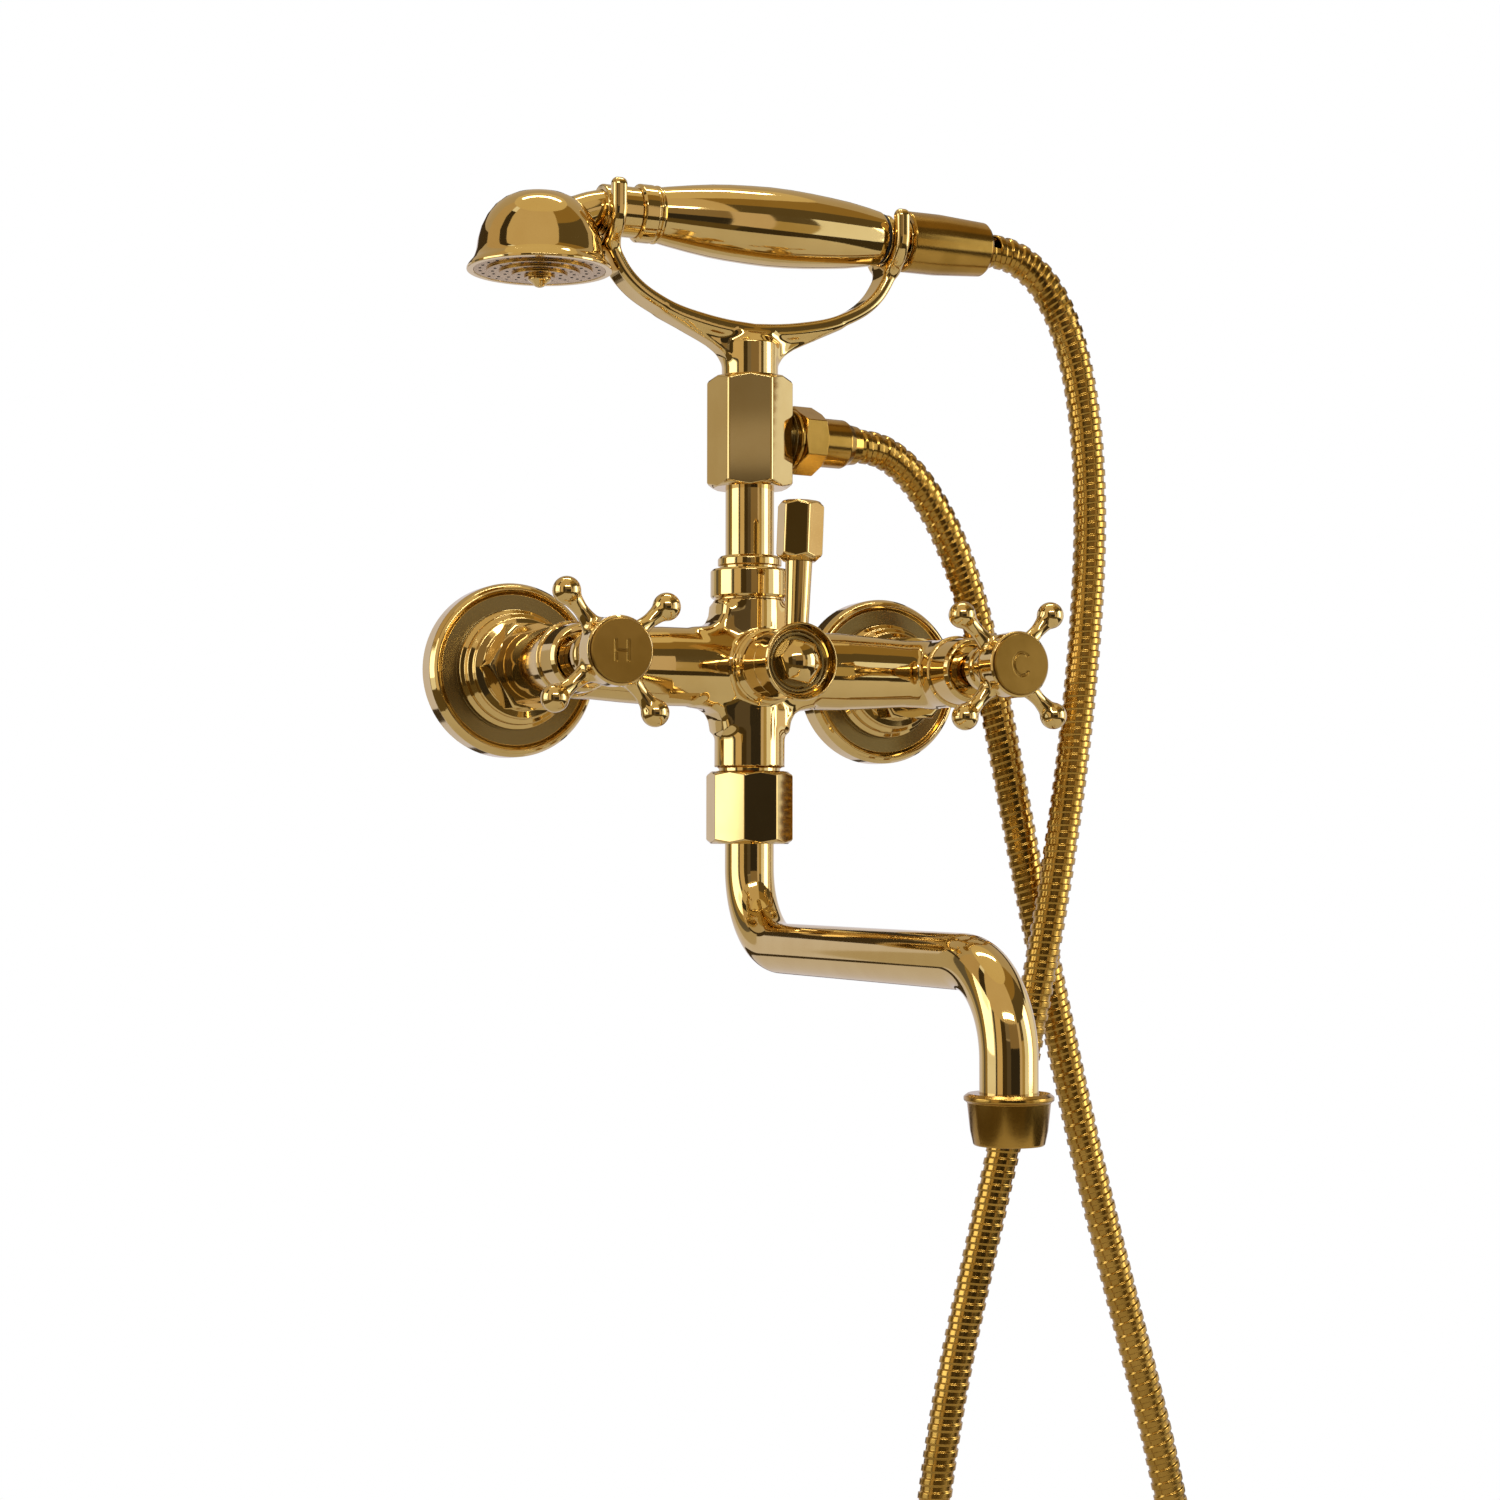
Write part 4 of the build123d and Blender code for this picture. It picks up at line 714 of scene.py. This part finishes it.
for valve, x, letter in (("hot", -inletX, letterH), ("cold", inletX, letterC)):
    dress(f"valveBonnet_{valve}", lathe(front(x), **bonnetShape), "faucet", polishedBrass)
    gland = smoothMesh(f"gland_{valve}", lathe(front(x), **glandShape), [polishedBrass])
    settle(gland, "faucet", "polished_brass", f"cartridge_{valve}")
    parts = [turnedField(front(x), hubProfile)]
    for k in range(4):
        angle = math.radians(45 + 90 * k + handle["turn"][valve])
        parts.append(turnedField(Place((x, handle["spokeY"], 0), (math.cos(angle), 0, math.sin(angle))), spokeProfile))
    recess = turnedField(front(x), [(0, 109.5), (10.75, 109.5), (10.75, 120), (0, 120)])[0]
    cross = castPiece(f"handle_{valve}", parts, [handle["seam"]] * 4, handle["voxel"], [recess])
    cross = joined(cross, smoothMesh(f"hubRing_{valve}", lathe(front(x), hubRing, 0.2, 96), [polishedBrass]))
    settle(cross, f"valve_{valve}", "polished_brass", f"handle_{valve}")
    settle(indexCap(f"indexCap_{valve}", x, letter), f"valve_{valve}", "satin_brass", f"index_cap_{valve}")
print("valves ready")

# Diverter
diverterBonnetShape = {"radius": 0.25, "outline": [
    (9.05, 64.05), (13.6, 64.05, 0.5), (13.6, 65.6, 0.5), (12.9, 66.1, 0.2), (13.4, 66.7, 0.5),
    (13.4, 67.8, 0.6), (12.4, 68.6, 0.4), (11.9, 70.0, 2), (12.0, 79.9), (9.05, 79.9),
]}
diverterBonnet = lathe(front(0), **diverterBonnetShape)
dress("diverterBonnet", diverterBonnet, "faucet", polishedBrass)
knobShape = {"radius": 0.3, "steps": 96, "outline": [
    (4, 80.3), (12.2, 80.3, 0.3), (12.3, 87.0, 3), (13.1, 91.6, 1.2), (13.7, 92.8, 0.6), (13.3, 93.8, 0.4),
    (12.9, 93.8, 0.3), (11.8, 91.0, 1.0), (11.2, 90.4, 0.3, 1), (10.9, 90.6, 0.2), (10.2, 89.8, 0.3),
    (9.6, 89.8, 0.2), (9.4, 90.0, 0.15), (9.0, 89.4, 0.2), (8.4, 89.2, 0.2), (4, 89.2, None, 0),
]}
dress("diverterKnob", lathe(front(0), **knobShape), "diverter", polishedBrass, dullBrass)
# a round crown on a hexagon: scale, height, slope of the normal, share of roundness
capNut = {"flats": 14.2, "turn": 50, "corner": 0.5, "crown": 7.5}
dome = polygonRing(6, capNut["flats"], math.radians(capNut["turn"]), capNut["corner"])
domeRows = [
    (1.0, 89.25, 0.0, 0.0), (1.0, 93.3, 0.0, 0.0), (0.97, 93.7, 0.8, 0.1), (0.9, 94.2, 1.0, 0.4),
    (0.75, 95.1, 1.3, 0.8), (0.55, 95.95, 2.0, 1.0), (0.35, 96.5, 3.6, 1.0), (0.15, 96.75, 8.5, 1.0),
    (0.001, 96.8, 50.0, 1.0),
]
domePoints, domeNormals = [], []
for scale, t, lift, roundness in domeRows:
    for spot, normal in dome:
        radial = spot.normalized()
        across = spot.lerp(radial * capNut["crown"], roundness) * scale
        facing = normal.lerp(radial, roundness)
        domePoints.append(front(0).point(across.x, across.y, t))
        domeNormals.append(front(0).direction(facing.x, facing.y, lift))
domeFaces, domeIndices = gridFaces(len(domeRows), len(dome), False, [0] * len(domeRows))
dress("diverterCapNut", orient(domePoints, domeNormals, domeFaces, domeIndices), "diverter", polishedBrass)
lever = {"y": -88.0, "lean": 2.4}
lean = math.radians(lever["lean"])
leverAxis = Place((0, lever["y"], 0), (math.sin(lean), 0, math.cos(lean)))
stemShape = {"radius": 0.1, "outline": [
    (0, 10.2), (2.0, 10.2), (2.0, 12.2), (4.15, 12.2), (4.2, 14.5), (4.7, 35), (2.5, 35), (2.5, 41), (0, 41),
]}
dress("leverStem", lathe(leverAxis, **stemShape), "diverter", polishedBrass)
leverGripShape = {"sides": 6, "flats": 14.4, "turn": 24.5, "start": 35.05, "end": 56,
                  "chamfers": ((5.6, 2.6), (6.6, 1.8)), "bore": 2.55, "corner": 1.0, "edge": 0.3}
grip = nutShell(leverAxis, **leverGripShape)
dress("leverGrip", grip, "diverter", polishedBrass)

# Riser, union block and hose outlet
riserNutShape = {"radius": 0.25, "outline": [
    (8.8, 24.55), (12.4, 24.55), (12.4, 25.3), (13.6, 25.3), (14.1, 26.0, 0.6), (14.1, 34.9, 0.8),
    (13.4, 35.7, 0.5), (8.8, 35.7),
]}
riserNut = lathe(upright(), **riserNutShape)
dress("riserNut", riserNut, "faucet", polishedBrass)
riserCollarShape = {"radius": 0.25, "outline": [
    (8.8, 35.75), (10.8, 35.75), (10.8, 36.8), (11.5, 37.0, 0.3), (11.5, 39.4, 0.8), (10.6, 40.4, 0.5),
    (8.8, 40.4),
]}
riserCollar = lathe(upright(), **riserCollarShape)
dress("riserCollar", riserCollar, "faucet", polishedBrass)
riserPipeShape = {"radius": 0.25, "outline": [(6.5, 12.5), (8.75, 12.5), (8.75, 77), (6.5, 77)]}
riserPipe = lathe(upright(), **riserPipeShape)
dress("riserPipe", riserPipe, "faucet", polishedBrass)
unionBlockShape = {"sides": 6, "flats": 27.1, "turn": 36, "start": 65, "end": 105,
                   "chamfers": ((13.3, 1.8), (13.3, 1.8)), "bore": 8.82, "corner": 1.3, "edge": 0.45}
block = nutShell(upright(), **unionBlockShape)
dress("unionBlock", block, "faucet", polishedBrass)
nippleShape = {"radius": 0.25, "outline": [(5, 12.4), (8.6, 12.4), (8.6, 23.4), (5, 23.4)]}
nipple = lathe(outletAxis, **nippleShape)
spotfaceShape = {"radius": 0.03, "outline": [(8.7, 13.5), (11.2, 13.5), (11.2, 13.62), (8.7, 13.62)]}
spotface = lathe(outletAxis, **spotfaceShape)
nippleSkin = smoothMesh("hoseNipple", merged(nipple, spotface), [dullBrass])
settle(nippleSkin, "faucet", "polished_brass", "hose_nipple")
nutCollarShape = {"radius": 0.25, "outline": [
    (8.65, 15.7), (10.5, 15.7), (10.9, 16.1, 0.4), (10.9, 16.8, 0.3), (10.5, 17.25, 0.2), (8.65, 17.25),
]}
nutCollar = lathe(outletAxis, **nutCollarShape)
hoseNutShape = {"sides": 6, "flats": 21.9, "turn": 0, "start": 17.3, "end": 27.4,
                "chamfers": ((10.9, 1.0), (10.6, 1.4)), "bore": 8.65, "corner": 0.6}
nutHex = nutShell(outletAxis, **hoseNutShape)
dress("hoseNut", merged(nutCollar, nutHex), "faucet", satinBrass)
hoseFerruleShape = {"radius": 0.25, "outline": [
    (4.4, 24.9), (6.8, 24.9), (6.8, 27.45), (8.9, 27.5, 0.3), (8.9, 38.4, 1.2), (7.5, 41.0, 0.6),
    (7.0, 44.5, 0.3), (4.4, 44.5),
]}
hoseFerrule = lathe(outletAxis, **hoseFerruleShape)
dress("hoseFerrule", hoseFerrule, "faucet", satinBrass)
print("riser ready")

# Cradle
cradle = {"armBase": 121.5, "armRise": 27.2, "armHalf": 2.3, "forkX": 55.6, "seams": [3.0, 4.0, 3.0, 3.0],
          "voxel": 0.45}
armLine = [(0, 0.0), (12, 0.02), (25, 0.115), (33, 0.205), (41, 0.345), (46, 0.47), (50, 0.62), (52.6, 0.77),
           (54.4, 0.9), (55.4, 1.0)]
armBase, armRise = cradle["armBase"], cradle["armRise"]
armPoints = [Vector(spot) for spot in softened([(x, armBase + armRise * share) for x, share in armLine])]
upper, lower = [], []
for i, point in enumerate(armPoints):
    along = (armPoints[min(i + 1, len(armPoints) - 1)] - armPoints[max(i - 1, 0)]).normalized()
    side = Vector((-along.y, along.x)) * cradle["armHalf"]
    upper.append(point + side)
    lower.append(point - side)
armOutline = [tuple(p) for p in upper] + [tuple(p) for p in reversed(lower)]
armOutline += [(-x, z) for x, z in reversed(armOutline) if x > 0.01]
gusset = [(0, 122), (-34, 126.0), (-24, 120.0), (-16, 116), (-10.0, 112.0), (10.0, 112.0), (16, 116),
          (24, 120.0), (34, 126.0)]
cradleParts = [
    turnedField(upright(), [(0, 95.1), (7.9, 95.1), (7.9, 105.15), (10.15, 105.15), (10.15, 117), (8, 120),
                            (0, 120)]),
    slabField((0, axisY, 0), (1, 0, 0), (0, 0, 1), armOutline, 6.0, 1.8),
    slabField((0, axisY, 0), (1, 0, 0), (0, 0, 1), gusset, 4.0, 1.2),
]


# points of an arc; angles in degrees
def arc(x, y, radius, angles):
    return [(x + radius * math.cos(math.radians(a)), y + radius * math.sin(math.radians(a))) for a in angles]


forkX = cradle["forkX"]
forkOutline = arc(0, 0, 14.6, range(180, 361, 4)) + arc(11.9, 6.3, 2.7, range(0, 181, 12))
forkOutline += arc(0, 0, 9.2, range(360, 179, -4)) + arc(-11.9, 6.3, 2.7, range(0, 181, 12))
for x in (-forkX, forkX):
    cradleParts.append(slabField((x, axisY, handsetZ), (0, 1, 0), (0, 0, 1), forkOutline, 2.7, 2.0))
cradleCast = castPiece("cradle", cradleParts, cradle["seams"], cradle["voxel"])
settle(cradleCast, "faucet", "polished_brass", "cradle")
print("cradle ready")

# Handset
headAxis = upright(x=headX)
headShape = {"radius": 0.3, "steps": 96, "outline": [
    (0, 164.6), (4.5, 164.3, 9), (9.1, 163.2, 9), (12.7, 161.5, 9), (15.8, 159.0, 9), (18.4, 155.6, 9),
    (20.4, 151.4, 9), (21.6, 147.0, 9), (22.1, 143.4, 9), (22.9, 140.6, 9), (24.9, 138.3, 0.8),
    (25.4, 137.4, 0.4), (25.4, 136.6, 0.3), (23.05, 136.6), (23.05, 139.0), (20.3, 143.0, 9),
    (19.0, 149.0, 9), (15.6, 156.0, 9), (10.0, 161.0, 9), (0, 162.8),
]}
dress("handsetHead", lathe(headAxis, **headShape), "handset", polishedBrass)
plateShape = {"radius": 0.15, "steps": 96, "outline": [
    (0, 139.0), (23.0, 139.0), (23.0, 136.8), (18.6, 136.8), (18.6, 136.1), (14.2, 136.1), (14.2, 135.4),
    (9.8, 135.4), (9.8, 134.7), (5.4, 134.7), (5.4, 134.0), (0, 134.0),
]}
plate = smoothMesh("sprayPlate", lathe(headAxis, **plateShape), [satinBrass])


# rings of thin near-black discs on the plate that paint the shade inside the spray holes: (radius, count, height) for
# each
def pinholes(name, rings, drill, material):
    tree, sockets, start = nodeGroup(name, "Drill Radius")
    join = addNode(tree, "GeometryNodeJoinGeometry")
    for radius, count, height in rings:
        circle = addNode(tree, "GeometryNodeMeshCircle", {"Vertices": count, "Radius": radius * mm})
        shift = addNode(tree, "GeometryNodeTransform", {
            "Geometry": circle.outputs["Mesh"], "Translation": (headX * mm, axisY * mm, height * mm),
        })
        plug(join.inputs["Geometry"], shift.outputs["Geometry"])
    disc = {"Vertices": 12, "Radius": start["Drill Radius"], "Depth": 0.12 * mm}
    hole = addNode(tree, "GeometryNodeMeshCylinder", disc)
    scatter = addNode(tree, "GeometryNodeInstanceOnPoints", {
        "Points": join.outputs["Geometry"], "Instance": hole.outputs["Mesh"],
    })
    host = newObject(name, bpy.data.meshes.new(name))
    return bakedGroup(name, host, tree, {sockets[0]: drill}, scatter.outputs["Instances"], material)


spray = {"drill": 0.55, "rings": [(20.8, 28, 136.78), (16.4, 22, 136.08), (12.0, 16, 135.38), (7.6, 10, 134.68)]}
sprayHoles = pinholes("sprayHoles", spray["rings"], spray["drill"], holeShadeBlack)
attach(sprayHoles, "handset")
settle(plate, "handset", "satin_brass", "spray_plate")
buttonShape = {"radius": 0.2, "steps": 32, "outline": [
    (0, 134.0), (4.0, 134.0), (4.0, 133.3, 0.4), (2.6, 132.2, 0.6), (1.6, 131.2, 0.5), (0.9, 130.9, 0.3),
    (0, 131.3),
]}
dress("sprayButton", lathe(headAxis, **buttonShape), "handset", polishedBrass)
neck = {"radius": 7.3, "bend": 30, "corner": -57.8, "end": -71.5, "drop": 5.4}
neckEnd = (neck["end"], axisY, handsetZ - neck["drop"])
neckPath = bentPath([(-45, axisY, handsetZ), (neck["corner"], axisY, handsetZ), neckEnd], neck["bend"])
neckTube = tube(neckPath, neck["radius"])
neckCollarShape = {"radius": 0.3, "outline": [(6.9, -44.85), (8.9, -44.85), (8.9, -58.2, 0.6), (6.9, -58.3)]}
neckCollar = lathe(handsetAxis, **neckCollarShape)
dress("handsetNeck", merged(neckTube, neckCollar), "handset", polishedBrass)
ferruleShape = {"radius": 0.25, "outline": [
    (5, -44.8), (9.5, -44.8), (10.3, -44.0, 0.4), (10.3, -39.2, 0.3), (9.6, -38.7, 0.2), (9.6, -38.0, 0.2),
    (10.3, -37.6, 0.2), (10.3, -36.85), (5, -36.85),
]}
dress("handsetFerrule", lathe(handsetAxis, **ferruleShape), "handset", polishedBrass)
gripShape = {"radius": 0.3, "steps": 96, "outline": [
    (7.2, -36.8), (9.3, -36.8), (9.8, -36.2, 0.4), (10.4, -33), (11.9, -23.5), (12.9, -16), (13.5, -9.3),
    (13.95, -1), (14.2, 6.7), (14.05, 15), (13.6, 22.7), (12.9, 31), (12.1, 38.6), (10.9, 46),
    (9.9, 51.0, 0.5), (9.3, 51.85), (7.2, 51.85),
]}
dress("handsetGrip", lathe(handsetAxis, **gripShape), "handset", polishedBrass)
sealShape = {"radius": 0.25, "outline": [(5, 51.9), (9.2, 51.9, 0.4), (9.2, 53.1, 0.4), (5, 53.1)]}
dress("gripSeal", lathe(handsetAxis, **sealShape), "handset", blackRubber)
handsetTailShape = {"radius": 0.25, "outline": [
    (5, 53.15), (8.6, 53.15), (8.9, 53.5, 0.3), (8.9, 55.1, 0.4), (8.4, 55.5, 0.2), (7.0, 56.1, 0.3),
    (7.0, 61.4), (8.4, 62.0), (8.4, 73.95), (5, 73.95),
]}
dress("handsetTail", lathe(handsetAxis, **handsetTailShape), "handset", polishedBrass)
sleeveShape = {"radius": 0.3, "steps": 96, "outline": [
    (9.0, 62.0), (10.7, 62.0), (11.2, 62.6, 0.5), (11.2, 76.0, 6), (10.0, 94.8, 0.5), (9.0, 96.0, 0.3),
    (6.4, 96.0), (6.4, 81), (9.0, 81),
]}
dress("hoseSleeve", lathe(handsetAxis, **sleeveShape), "handset", satinBrass)
print("handset ready")

# Spout
spoutNutShape = {"sides": 8, "flats": 28.9, "turn": 14.2, "start": -62.7, "end": -36.8,
                 "chamfers": ((13.9, 1.5), (13.9, 1.5)), "bore": 8.8, "corner": 0.8, "edge": 0.3}
spoutNut = nutShell(upright(), **spoutNutShape)
dress("spoutNut", spoutNut, "faucet", polishedBrass)
spout = {"radius": 8.75, "top": -49.5, "elbow": -99.2, "outlet": -146, "outletY": -235.0, "bend": 28}
elbow, outletY = spout["elbow"], spout["outletY"]
spoutRoute = [(0, axisY, spout["top"]), (0, axisY, elbow), (0, outletY, elbow), (0, outletY, spout["outlet"])]
dress("spoutPipe", tube(bentPath(spoutRoute, spout["bend"], 3), spout["radius"], 72), "spout", polishedBrass)
collarShape = {"radius": 0.25, "outline": [
    (8.8, -136.9), (12.2, -136.9), (13.4, -137.8, 0.6), (13.4, -138.9, 0.6), (12.4, -139.6, 0.3),
    (11.5, -147.8, 2), (10.6, -151.8, 0.5), (10.2, -152.2, 0.3), (8.4, -152.2), (8.4, -146.2), (8.8, -146.2),
]}
dress("spoutCollar", lathe(upright(outletY), **collarShape), "spout", satinBrass)
print("spout ready")

# Finishes of the plain CAD pieces
cadFinish = {
    "polished_brass": polishedBrass, "satin_brass": satinBrass, "steel_screw": plainSteel,
    "black_rubber": blackRubber, "grey_plastic": greyPlastic,
}
slotOf = {entry["node"]: entry["material_slot"] for entry in frame["record"]["subparts"]}
for name, node in frame["nodes"].items():
    node.data.materials.clear()
    node.data.materials.append(cadFinish[slotOf[name]])

# Stage
world = bpy.data.worlds.new("studio")
scene.world = world
world.use_nodes = True
tree = world.node_tree
background = tree.nodes["Background"]
background.inputs["Color"].default_value = (0.62, 0.62, 0.62, 1)
plainWhite = addNode(tree, "ShaderNodeBackground", {"Color": (1, 1, 1, 1)})
rays = addNode(tree, "ShaderNodeLightPath").outputs
seen = addNode(tree, "ShaderNodeMath", {0: rays["Is Camera Ray"], 1: rays["Is Glossy Ray"]}, operation="ADD")
anyRay = {0: seen.outputs[0], 1: rays["Is Transmission Ray"]}
seen = addNode(tree, "ShaderNodeMath", anyRay, operation="ADD", use_clamp=True)
choices = {"Fac": seen.outputs[0], 1: background.outputs[0], 2: plainWhite.outputs[0]}
choose = addNode(tree, "ShaderNodeMixShader", choices)
plug(tree.nodes["World Output"].inputs["Surface"], choose.outputs[0])


# makes the cards less warm, so that more of the gold comes from the metal
cardBalance = (1.12, 1.22, 1.55, 1)
cardRadius = 2.4


# a curved card around the object that glows with its colour and is seen only in reflections, so it paints light and
# dark reflections onto the metal.
# Azimuth 0 is behind the camera and positive to its right
def paintedReflectionCard(name, azimuths, elevations, colour):
    material = bpy.data.materials.new(name)
    material.use_nodes = True
    panelTree = material.node_tree
    panelTree.nodes.remove(panelTree.nodes["Principled BSDF"])
    balanced = [part * share for part, share in zip(linear(colour), cardBalance)]
    # the card's emission is the painted reflection that the metal shows
    glow = addNode(panelTree, "ShaderNodeEmission", {"Color": balanced})
    plug(panelTree.nodes["Material Output"].inputs["Surface"], glow.outputs[0])
    back = Vector((-forward.x, -forward.y, 0)).normalized()
    side = Vector((right.x, right.y, 0)).normalized()
    columns = max(2, math.ceil((azimuths[1] - azimuths[0]) / 6))
    rows = max(2, math.ceil((elevations[1] - elevations[0]) / 8))
    vertices = []
    for i in range(rows + 1):
        elevation = math.radians(elevations[0] + (elevations[1] - elevations[0]) * i / rows)
        for j in range(columns + 1):
            azimuth = math.radians(azimuths[0] + (azimuths[1] - azimuths[0]) * j / columns)
            flat = back * math.cos(azimuth) + side * math.sin(azimuth)
            vertices.append((flat * math.cos(elevation) + Vector((0, 0, math.sin(elevation)))) * cardRadius)
    corners = [i * (columns + 1) + j for i in range(rows) for j in range(columns)]
    faces = [(k, k + 1, k + columns + 2, k + columns + 1) for k in corners]
    mesh = bpy.data.meshes.new(name)
    mesh.from_pydata(vertices, [], faces)
    panel = newObject(name, mesh, [material])
    panel.visible_camera = False
    panel.visible_shadow = False
    panel.visible_diffuse = False
    return panel


floorMesh = bpy.data.meshes.new("floor")
floorZ = -0.62
floorCorners = [(x, y, floorZ) for x, y in ((-0.9, -1.2), (0.9, -1.2), (0.9, 0.6), (-0.9, 0.6))]
floorMesh.from_pydata(floorCorners, [], [(0, 1, 2, 3)])
floor = newObject("floor", floorMesh, [finish("pale floor", "#CBC2B4", 0.8, metallic=0.0)])


lampTarget = Vector((0, -0.05, 0))


def softbox(name, centre, width, height, power):
    data = bpy.data.lights.new(name, "AREA")
    data.shape = "RECTANGLE"
    data.size = width
    data.size_y = height
    data.energy = power
    lamp = newObject(name, data)
    lamp.location = centre
    lamp.rotation_euler = (lampTarget - Vector(centre)).to_track_quat("-Z", "Y").to_euler()
    return lamp


softbox("leftWindow", (-1.94, 0.255, 0.42), 1.25, 1.2, 8)
softbox("rightWindow", (1.65, -1.0, 0.3), 0.7, 1.2, 9)
softbox("frontStrip", (-0.43, -1.68, 1.0), 1.3, 0.16, 8)
softbox("topStrip", (0.14, 0.31, 1.97), 1.3, 0.14, 8)
# glowing cards that paint the light and dark reflections on the metal, in place of walls, ceiling and floor: azimuths,
# elevations, colour.
# The gaps show the white background
for number, (first, last, low, high, colour) in enumerate([
    (-180, -128, -13, 20, "#D2C6BA"), (-128, -116, -14, 24, "#B8A684"), (-116, -104, -14, 24, "#685E4E"),
    (-104, -92, -14, 24, "#9C8048"), (-52, -45, -14, 24, "#564C3E"), (-45, -25, -14, 24, "#D6B988"),
    (-25, -9, -14, 24, "#463820"), (-9, 5, -14, 9.6, "#5B4E3C"), (-9, 5, 9.6, 11, "#A8977F"),
    (-9, 5, 11, 24, "#807058"), (5, 37, -14, 4, "#332C22"), (5, 37, 4, 24, "#8C7450"),
    (37, 46, -14, 24, "#CDB490"), (46, 57, -14, 9, "#B09660"), (46, 57, 9, 24, "#5F5034"),
    (92, 104, -14, 24, "#E7CFAC"), (130, 180, -13, 20, "#D6CABC"), (110, 250, 20, 28, "#40331F"),
    (110, 250, 28, 62, "#B7A27E"), (110, 250, -17, -13, "#40331F"), (110, 250, -48, -17, "#CBBFB2"),
    (110, 250, -75, -48, "#8C7038"), (-110, -78, 24, 62, "#BFA273"), (-78, -62, 18, 55, "#3C3120"),
    (-62, 40, 24, 62, "#CDB283"), (40, 110, 24, 44, "#5E4E30"), (40, 110, 44, 62, "#94743A"),
    (-180, 180, 62, 90, "#D6BC86"), (-110, 40, -48, -14, "#5E4C2A"), (40, 110, -42, -14, "#3E3320"),
    (40, 110, -62, -42, "#94712C"), (40, 110, -75, -62, "#C29C50"), (-110, 40, -75, -48, "#8C6C30"),
    (-180, 180, -90, -75, "#A8843C"),
]):
    paintedReflectionCard(f"paintedReflectionCard{number}", (first, last), (low, high), colour)
